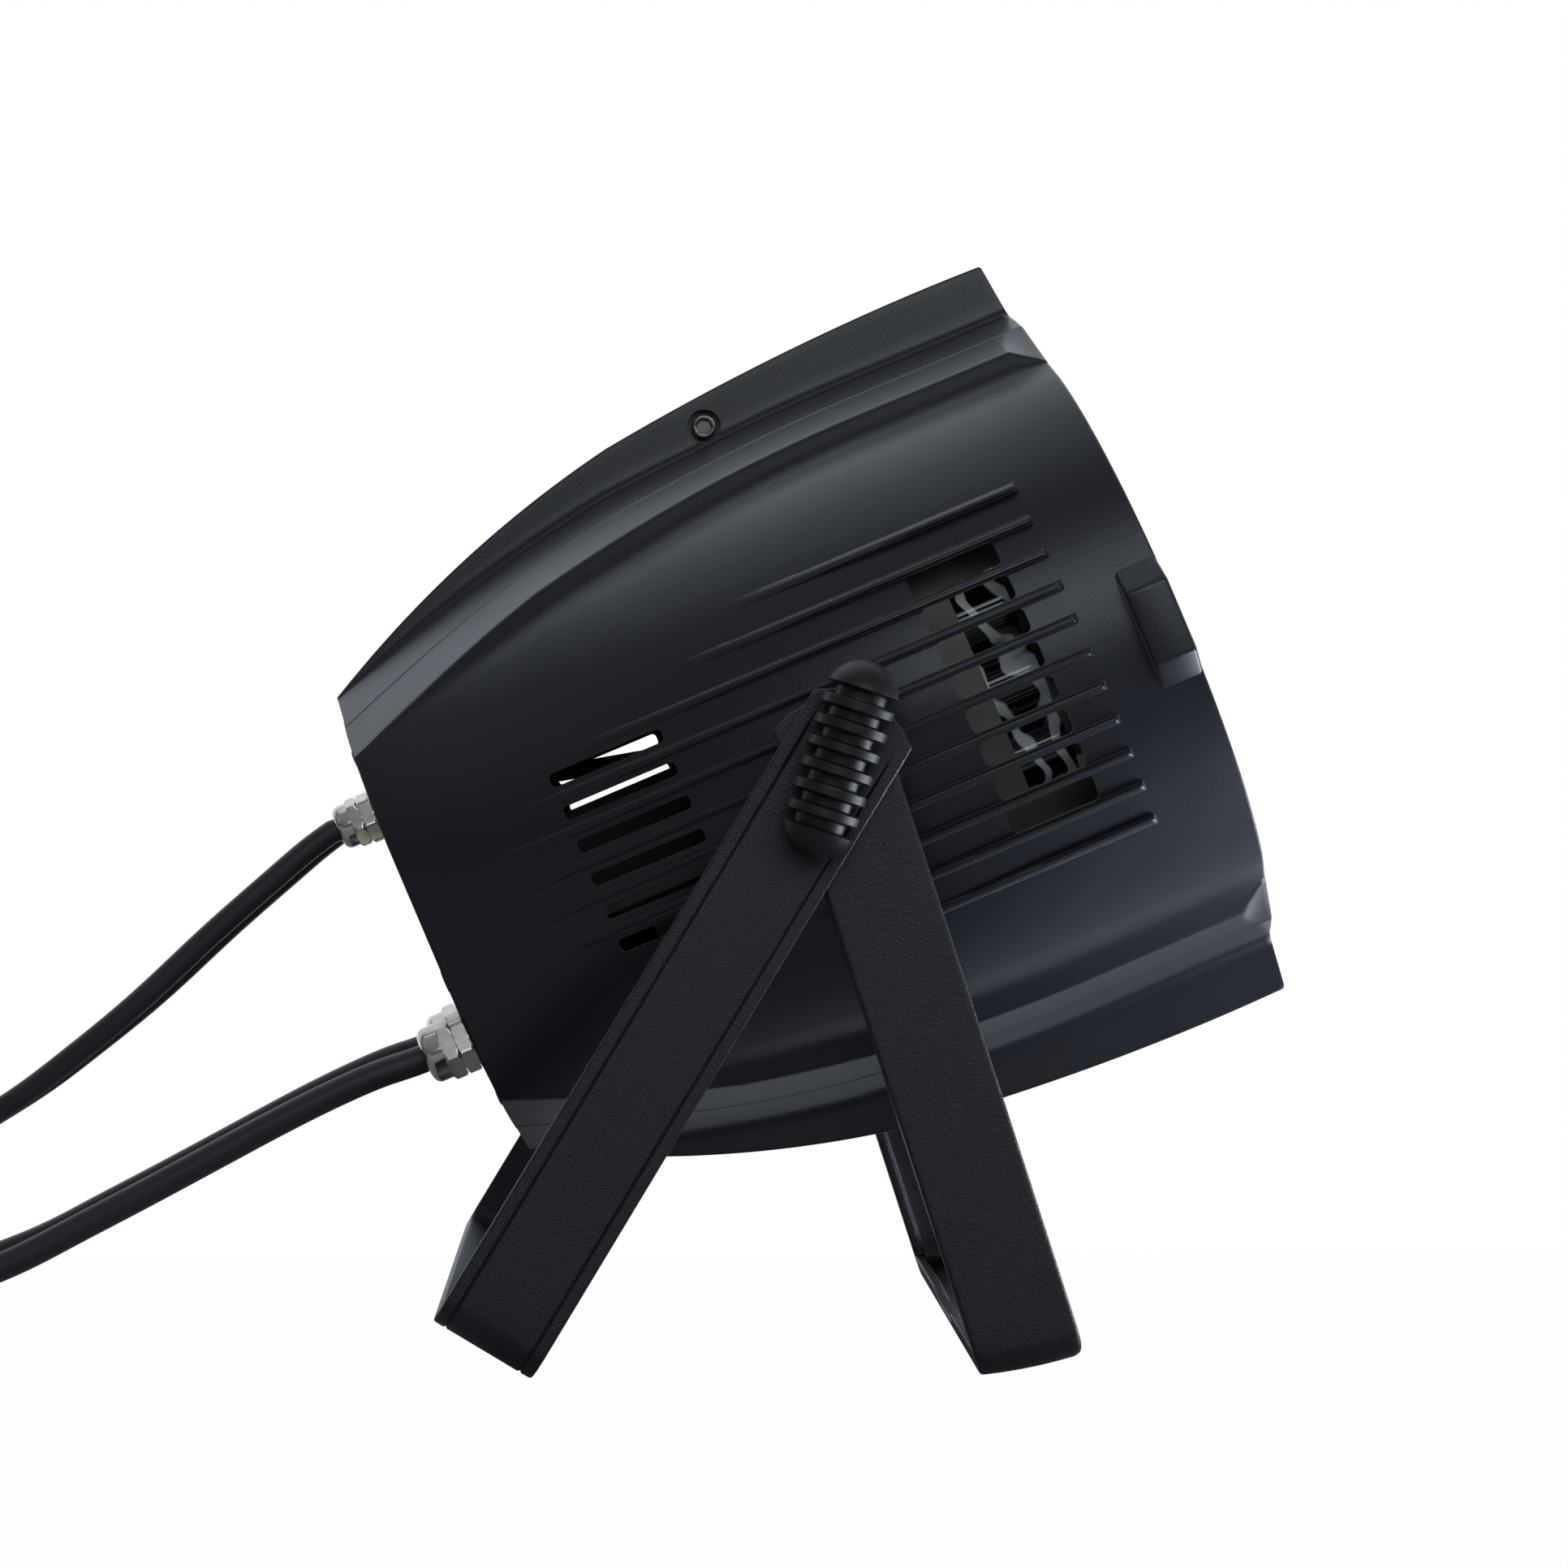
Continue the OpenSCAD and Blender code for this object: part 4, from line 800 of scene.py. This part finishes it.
# %% [markdown]
# ## Clamp knobs
# Each knob is a satin moulded bar with domed ends. Seven finger grooves go round it and leave six
# thin fins on a slimmer core. Along the bar the section is a half ellipse on straight sides, so the
# knob is one grid over (length, turn) whose width and height drop inside the grooves. Cutting the
# grooves by Boolean would give the same form with ragged edges.

# %% Clamp knobs
KNOB_LEAN = math.radians(18.2)
KNOB_IN, KNOB_HALF, DOME = 139.7 * MM, 28.6 * MM, 10.3 * MM
GRIP_W, GRIP_SIDE, GRIP_CROWN, NECK_R = 10.35 * MM, 8 * MM, 12 * MM, 8.5 * MM
GROOVES, GROOVE_PITCH, GROOVE_HALF, GROOVE_SLOPE = 7, 6.15 * MM, 1.25 * MM, 0.6 * MM


def on_stand(x, y, z, lean):
    """Places (x, y, z) by the pivot, turned about the pivot axis by lean."""
    c, s = math.cos(lean), math.sin(lean)
    return np.stack([PIVOT[0] + x * c + z * s, PIVOT[1] + y + 0 * x, PIVOT[2] + z * c - x * s], axis=-1)


along = np.linspace(-KNOB_HALF, KNOB_HALF, 231)[:, None]
dome = np.sqrt(1 - np.clip((np.abs(along) - KNOB_HALF + DOME) / DOME, 0, 0.9995) ** 2)
from_groove = np.abs((along + GROOVE_PITCH / 2) % GROOVE_PITCH - GROOVE_PITCH / 2)
in_grooves = np.abs(along) < GROOVES / 2 * GROOVE_PITCH
groove = np.where(in_grooves, 1 - ease((from_groove - GROOVE_HALF) / GROOVE_SLOPE), 0)
half_w = GRIP_W * dome - 3.2 * MM * groove
crown = GRIP_CROWN * dome - 5 * MM * groove
t = np.linspace(0, np.pi, 29)
under = np.array([(-1, 5), (-0.96, 3.5), (-0.86, 3), (0.86, 3), (0.96, 3.5), (1, 5)]).T
across = np.concatenate([half_w * np.cos(t), half_w * under[0]], axis=1)
depth = np.concatenate([GRIP_SIDE + crown * np.sin(t) ** 0.8, under[1] * MM + 0 * half_w], axis=1)
around = np.linspace(0, 2 * np.pi, 40, endpoint=False)
disc = NECK_R * np.stack([np.cos(around), np.sin(around)])
for side, name in ((-1, "knob_near"), (1, "knob_far")):
    bar = on_stand(across, side * (KNOB_IN + depth), along + 0 * across, KNOB_LEAN)
    neck = np.stack([on_stand(disc[0], side * (KNOB_IN + d), disc[1], KNOB_LEAN) for d in (0, 3.2 * MM)])
    knob = fuse("grip_" + name[5:], [(bar, capped(*across.shape)), (neck, capped(2, len(around)))], 45)
    dress(knob, knob_black)
    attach(knob, name)
    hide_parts(name)
print("knob points", len(knob.data.vertices))

# %% [markdown]
# ## Path of a yoke
# Both yokes are bent to a U: leg, bend, crossbar, bend, leg. Each is one rounded section drawn along such
# a path, and a Boolean drills the clamp hole in the crossbar. A curve object with a bevel would give one
# fixed section, but here the width and the flange change along the way.

# %% Path of a yoke
END_R, FLAT_FROM = 25 * MM, -8 * MM


def u_path(half, drop, bend, end, half_w):
    """Stations of a U: points (y, z) of the outside line, the way to the inside there, and the half width.

    Stations crowd over the round end and where the flange ends. The half width is half_w, or less on the
    round end: sqrt(END_R^2 - (z - end + END_R)^2).
    """
    tip = end - END_R + END_R * np.cos(np.linspace(0.06, math.asin(half_w / END_R), 9))
    upper, lower = np.linspace(tip[-1], FLAT_FROM, 12)[1:], np.linspace(FLAT_FROM, bend - drop, 14)[1:]
    tops = np.concatenate([tip, upper, lower])
    a = np.linspace(np.pi, 1.5 * np.pi, 13)[1:-1]
    flat = np.linspace(bend - half, 0, 22)
    y = np.concatenate([0 * tops - half, bend - half + bend * np.cos(a), flat])
    z = np.concatenate([tops, bend - drop + bend * np.sin(a), 0 * flat - drop])
    ny = np.concatenate([0 * tops + 1, -np.cos(a), 0 * flat])
    nz = np.concatenate([0 * tops, -np.sin(a), 0 * flat + 1])
    path = [np.concatenate([m, k * m[-2::-1]]) for m, k in ((y, -1), (z, 1), (ny, -1), (nz, 1))]
    up = np.clip(path[1] - end + END_R, 0, None)
    return path, np.minimum(half_w, np.sqrt(np.clip(END_R**2 - up**2, 0, None)))


def closed_section(wide, stops):
    """Corners of a section from the middle of its outer face round both sides: stops are (share, depth)."""
    right, left = ([np.array([s * wide * k, d + 0 * wide]) for k, d in stops] for s in (1, -1))
    middle = np.array([0 * wide, 0 * wide])
    return [middle, *right, *left[::-1], middle]


def yoke(name, lean, body, path, section, hole, sink):
    """Draws a section (across, depth) for every station along the path and cuts the clamp hole."""
    y, z, ny, nz = (m[:, None] for m in path)
    x, d = (m[:, :-1] for m in section)
    px, py, pz = x + 0 * y, y + d * ny, z + d * nz
    pz = pz - sink(px, pz)
    piece = fuse(name + "_bar", [(on_stand(px, py, pz, lean), capped(*px.shape))])
    low = path[1].min()
    pin = np.stack([on_stand(hole * np.cos(around), hole * np.sin(around), low + h + 0 * around, lean)
                    for h in (-9 * MM, 9 * MM)])
    cut_away(piece, [(pin, capped(2, len(around)))], 50)
    dress(piece, yoke_coat)
    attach(piece, body)
    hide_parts(name)
    print(name, "faces", len(piece.data.polygons))


print("yoke tools ready")

# %% [markdown]
# ## Outer yoke
# The outer yoke is a flat steel bar with a fine groove along each edge, round at the leg's end. The
# groove is part of the section, so that it fades out under the knob.

# %% Outer yoke
OUTER_LEAN = math.radians(31.1)
OUTER_THICK, GROOVE_DEEP = 4 * MM, 0.55 * MM
path, wide = u_path(half=138.5 * MM, drop=192.4 * MM, bend=9 * MM, end=19 * MM, half_w=16 * MM)
deep = GROOVE_DEEP * ease((12 * MM - path[1]) / (12 * MM))
line = closed_section(wide, ((0.72, 0), (0.755, deep), (0.79, 0), (1, 0), (1, OUTER_THICK)))
soft = np.array([0.1, 0.15, 0.1, 1.1, 0.8]) * MM
section = bend_line(line, np.concatenate([soft, soft[::-1]]), (3, 1, 1, 2, 2, 5, 2, 2, 1, 1, 3))
yoke("outer_yoke", OUTER_LEAN, "stand", path, section, 5.25 * MM, lambda px, pz: 0)

# %% [markdown]
# ## Inner yoke
# The inner yoke is a pressed channel whose flanges die out before the pivot and in the middle of the
# crossbar. The crossbar slopes, is pressed in a slight arc and has an eased front corner, so one
# function lowers the finished section there.

# %% Inner yoke
INNER_LEAN = math.radians(-17.946)
INNER_W, INNER_THICK, FLANGE_LEAST, CORNER = 15 * MM, 3 * MM, 3.05 * MM, 3 * MM


def pressed(px, pz):
    """How far the inner crossbar's section sinks at px: a slope, a slight arc and a round front corner."""
    slope, arc = 0.11 * (px + INNER_W), 0.8 * MM * (1 - (px / INNER_W) ** 2)
    round_off = CORNER - np.sqrt(CORNER**2 - np.clip(px - INNER_W + CORNER, 0, CORNER - 0.01 * MM) ** 2)
    return (slope + arc - round_off) * ease((-pz - 147 * MM) / (24 * MM))


path, wide = u_path(half=133.5 * MM, drop=177 * MM, bend=8 * MM, end=18 * MM, half_w=INNER_W)
off_middle = np.abs(path[0])
on_leg = FLANGE_LEAST + 4.9 * MM * ease((6 * MM - path[1]) / (9 * MM))
on_leg = np.minimum(on_leg, 7.2 * MM + np.clip(path[1] + 165 * MM, 0, None))
on_bar = FLANGE_LEAST + 4.15 * MM * ease((off_middle - 24 * MM) / (15 * MM))
flange = np.where(off_middle < 100 * MM, on_bar, on_leg)
line = closed_section(wide, ((1, 0), (1, flange), (0.8, flange), (0.8, INNER_THICK)))
soft = np.array([1.3, 0.6, 0.6, 1.2]) * MM
section = bend_line(line, np.concatenate([soft, soft[::-1]]), (9, 2, 1, 2, 9, 2, 1, 2, 9))
yoke("inner_yoke", INNER_LEAN, "inner_yoke", path, section, 4.25 * MM, pressed)

# %% [markdown]
# ## Cable glands and rear screws
# Each gland is turned from hexagon brass bar and nickel-plated: a washer, a short hexagon body, a fine
# gap, then the cap nut, whose hexagon has chamfered corners and runs out in a round shoulder. Along the
# axis the reach is the smaller of a turned radius R(s) and the hexagon, so a chamfer needs no extra cut.

# %% Cable glands and rear screws
nickel = finish_of("nickel", (0.62, 0.57, 0.5), 0.13, tone=0.12, spread=0.06, coarse=90, fine=350,
                   grain=0.000001, Metallic=1.0)
PLATE = BACK - 1 * MM
SIXTH = np.pi / 3
hex_turn = np.linspace(0, 2 * np.pi, 120, endpoint=False)


def flat_reach(corner_r, turn):
    """Reach of a hexagon: its flats' distance over cos(angle to the nearest flat)."""
    return corner_r * math.cos(SIXTH / 2) / np.cos((turn + SIXTH / 2) % SIXTH - SIXTH / 2)


def turned_hex(rows, corner_r, y, v):
    """Points and faces on the rear plate at (y, v) for rows (s, R, is hexagon): reach min(R(s), hexagon)."""
    fine = [rows[0]]
    for a, b in zip(rows, rows[1:]):
        fine += [np.add(a, np.subtract(b, a) * t) for t in np.linspace(0, 1, 9 if a[2] and b[2] else 2)[1:]]
    s, r, flat = np.array(fine, float).T[:, :, None] * np.array([MM, corner_r, 1])[:, None, None]
    six = flat_reach(corner_r, hex_turn - np.pi / 15)
    reach = np.where(flat > 0.5, np.minimum(r, six), r + 0 * six)
    points = on_head(PLATE - s + 0 * reach, y - reach * np.cos(hex_turn), v + reach * np.sin(hex_turn))
    return points, capped(*reach.shape)


def turned_piece(name, parts, sharp, made, node):
    """One piece of the head from turned parts, its edges above the angle sharp, in place of a solid."""
    piece = fuse(name, parts, sharp)
    dress(piece, made)
    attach(piece, "head")
    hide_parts(node)
    print(name, "points", len(piece.data.vertices))


# Each kind: corner radius, height on the plate, where the cap starts and ends, the cord's hole.
GLANDS = {"signal": (7.65, SIGNAL_V, 5, 13, 4.6), "power": (9.85, POWER_V, 5.5, 16, 5.4)}
for kind, (corner_r, v, base, end, hole) in GLANDS.items():
    body = [(-10, 0.78, 0), (0, 0.78, 0), (0, 1.03, 0), (0.8, 1.03, 0), (0.9, 0.99, 0), (0.9, 0.84, 0),
            (1.2, 0.84, 0), (1.2, 0.93, 1), (1.6, 0.99, 1), (base - 0.7, 0.99, 1), (base - 0.3, 0.93, 1),
            (base - 0.3, 0.8, 0), (base - 0.05, 0.8, 0)]
    nut = base + 0.42 * (end - base)
    cap = [(base, 0.8, 0), (base, 0.92, 1), (base + 0.6, 1.0, 1),
           (nut - 0.7, 1.0, 1), (nut, 0.91, 1), (nut, 0.87, 0)]
    mouth, round_r = hole / corner_r, 2.6
    cap += [(end - round_r + round_r * math.sin(t), mouth + (0.87 - mouth) * math.cos(t), 0)
            for t in np.linspace(0, np.pi / 2, 9)]
    for node, rows in ((kind + "_glands", body), (kind + "_gland_caps", cap)):
        pair = [turned_hex(rows, corner_r * MM, s * GLAND_Y, v) for s in (-1, 1)]
        turned_piece(node + "_turned", pair, 28, nickel, node)

black_steel = finish_of("black_steel", (0.05, 0.05, 0.05), 0.25, tone=0.3, coarse=200, Metallic=0.8)
low_head = [(0, 1, 0), (0.25, 1, 0), (0.5, 0.9, 0), (0.62, 0.6, 0), (0.62, 0.5, 1), (0.1, 0.5, 1)]
PLATE_CIRCLE, PLATE_SCREW_R = 64.6 * MM, 2.75 * MM
spots = [PLATE_CIRCLE * np.array([math.cos(a), math.sin(a)]) for a in np.radians([58, 122, 238, 302])]
heads = [turned_hex(low_head, PLATE_SCREW_R, y, v) for y, v in spots]
turned_piece("plate_screw_heads", heads, 35, black_steel, "rear_plate_screws")

# %% [markdown]
# ## Shell screws
# Two socket screws clamp the halves through the spine. Each head sits below the face in its own
# counterbore, so a dark ring shows round it. Head, socket and shank are one turned line, in millimetres
# below the spine's face, whose last rows are held to a hexagon.

# %% Shell screws
screw_steel = finish_of("screw_steel", (0.11, 0.105, 0.1), 0.22, tone=0.15, spread=0.06, coarse=90, fine=350,
                        grain=0.000001, Metallic=1.0)
cap_screw = np.array([(22, 2, 0), (5.5, 2, 0), (5.5, 3.7, 0), (1.7, 3.7, 0), (1.25, 3.5, 0), (1.1, 3.1, 0),
                      (1.1, 2.6, 0), (1.3, 2.4, 1), (3.4, 2.3, 1)])
below, radius, flat = (m[:, None] for m in cap_screw.T)
reach = MM * np.where(flat > 0.5, flat_reach(radius, hex_turn), radius + 0 * hex_turn)
clamps = [(on_head(SCREW_U + reach * np.cos(hex_turn), below * MM - SPINE_Y + 0 * reach,
                   v + reach * np.sin(hex_turn)), capped(*reach.shape)) for v in (SCREW_V, -SCREW_V)]
turned_piece("shell_screw_heads", clamps, 35, screw_steel, "shell_screws")

# %% [markdown]
# ## Lens cups and glass
# Through the front windows the glossy black lens cups show, with bright wavy streaks where they mirror
# the lenses. The cups are far too small to mirror a room well, so a wave pattern, stepped by a colour
# ramp and turned with the head, paints the streaks. The front glass is plain clear glass.

# %% Lens cups and glass
cups = finish_of("cup_plastic", (0.006, 0.006, 0.006), 0.12, tone=0.2, spread=0.04, grain=0.000004,
                 Coat_Weight=0.5)
tree = cups.node_tree
place, turned = add_node(tree, "TexCoord"), add_node(tree, "Mapping", Rotation=(0, TILT, 0))
wave, steps = add_node(tree, "TexWave", Scale=30, Distortion=11, Detail=2), add_node(tree, "ValToRGB")
dark, bright = steps.color_ramp.elements
dark.position, dark.color = 0.7, (0.006, 0.006, 0.006, 1)
bright.position, bright.color = 0.86, (0.85, 0.87, 0.9, 1)
join(place.outputs["Object"], turned.inputs["Vector"])
join(turned.outputs[0], wave.inputs["Vector"])
join(wave.outputs["Fac"], steps.inputs[0])
join(steps.outputs[0], tree.nodes["Principled BSDF"].inputs["Base Color"])
glass, tree, shader = new_material("front_glass")
set_inputs(shader, Base_Color=(0.96, 0.98, 0.98, 1), Roughness=0.02, Transmission_Weight=1.0, IOR=1.5)
print("made", cups.name, "and", glass.name)

# %% [markdown]
# ## Finishes for the solids that stay
# Inside and out, each remaining solid gets the finish of its real material: zinc-plated screws, bare
# aluminium, clear optics, rubber, circuit boards. The aluminium and the white LED board inside the housing
# are given a dark grey colour instead: painted shade for the dim inside of the housing. All use the
# mottle group with values of their own.
# Each row of the first table names the slot, the finish and the solids that wear it. The second table has
# the finishes that no other slot shares, with their colour, roughness and other values.

# %% Finishes for the solids that stay
zinc = finish_of("zinc_steel", (0.55, 0.56, 0.58), 0.3, tone=0.25, coarse=300, fine=3000, Metallic=1.0)
# Painted shade: the aluminium inside the housing gets a dark grey colour for the shade that falls there.
bare_metal = finish_of("bare_metal", (0.15, 0.142, 0.125), 0.55, tone=0.5, coarse=160, fine=1400,
                       Metallic=0.4)
STAYING = [
    ("shell_paint", paint, ["rear_plate"]),
    ("steel", black_steel, ["yoke_washers", "knob_washer_near", "knob_washer_far"]),
    ("steel", zinc, ["stud_near", "stud_far", "shell_nuts", "bezel_screws", "chassis_screws"]),
    ("nickel", nickel, ["gland_locknuts"]),
    ("glass", glass, ["front_glass"]),
    ("seal", finish_of("seal_rubber", (0.02, 0.02, 0.02), 0.7, coarse=120), ["glass_gasket"]),
    ("metal_inside", bare_metal, ["pivot_bosses", "led_drum", "heat_sink", "chassis_plate"]),
    ("cup_plastic", cups, ["lens_cups"]),
]
OWN_FINISH = [
    ("lens_plastic", (0.9, 0.93, 0.95), 0.05,
     dict(tone=0.03, spread=0.02, grain=0.000002, Transmission_Weight=0.9, IOR=1.49), ["lens_optics"]),
    ("display", (0.02, 0.03, 0.05), 0.12, dict(tone=0.2, spread=0.04, Coat_Weight=0.6), ["display_module"]),
    ("strap", (0.012, 0.012, 0.012), 0.8, dict(tone=0.5, coarse=200, fine=2500, grain=0.0001), ["coil_ties"]),
    ("connector_plastic", (0.014, 0.014, 0.015), 0.4, dict(tone=0.3, coarse=90, grain=0.00003),
     ["signal_plug", "signal_socket", "power_plug", "power_socket"]),
    ("emitter", (0.85, 0.7, 0.2), 0.4, dict(tone=0.15, coarse=200), ["led_emitters"]),
    # Painted shade: the white LED board gets a dark grey colour for the shade inside the housing.
    ("white_board", (0.11, 0.106, 0.095), 0.5, dict(tone=0.15, coarse=150), ["led_board"]),
    ("fan_plastic", (0.015, 0.015, 0.016), 0.5, dict(coarse=80), ["fan_frame", "fan_rotor"]),
    ("supply_case", (0.02, 0.02, 0.021), 0.6, dict(tone=0.2, coarse=90), ["power_supply"]),
    ("board", (0.02, 0.12, 0.05), 0.35, dict(tone=0.3, coarse=200), ["driver_board", "control_board"]),
    ("button_plastic", (0.02, 0.02, 0.022), 0.4, dict(coarse=150), [f"button_{i}" for i in range(1, 5)]),
    ("lead_rubber", (0.03, 0.03, 0.035), 0.5, dict(coarse=100), ["signal_leads", "power_leads"]),
]
for slot, colour, rough, more, names in OWN_FINISH:
    STAYING.append((slot, finish_of(slot, colour, rough, **more), names))
for slot, made, names in STAYING:
    for name in names:
        dress(nodes[name], made)
print("solids dressed", sum(len(names) for _, _, names in STAYING))
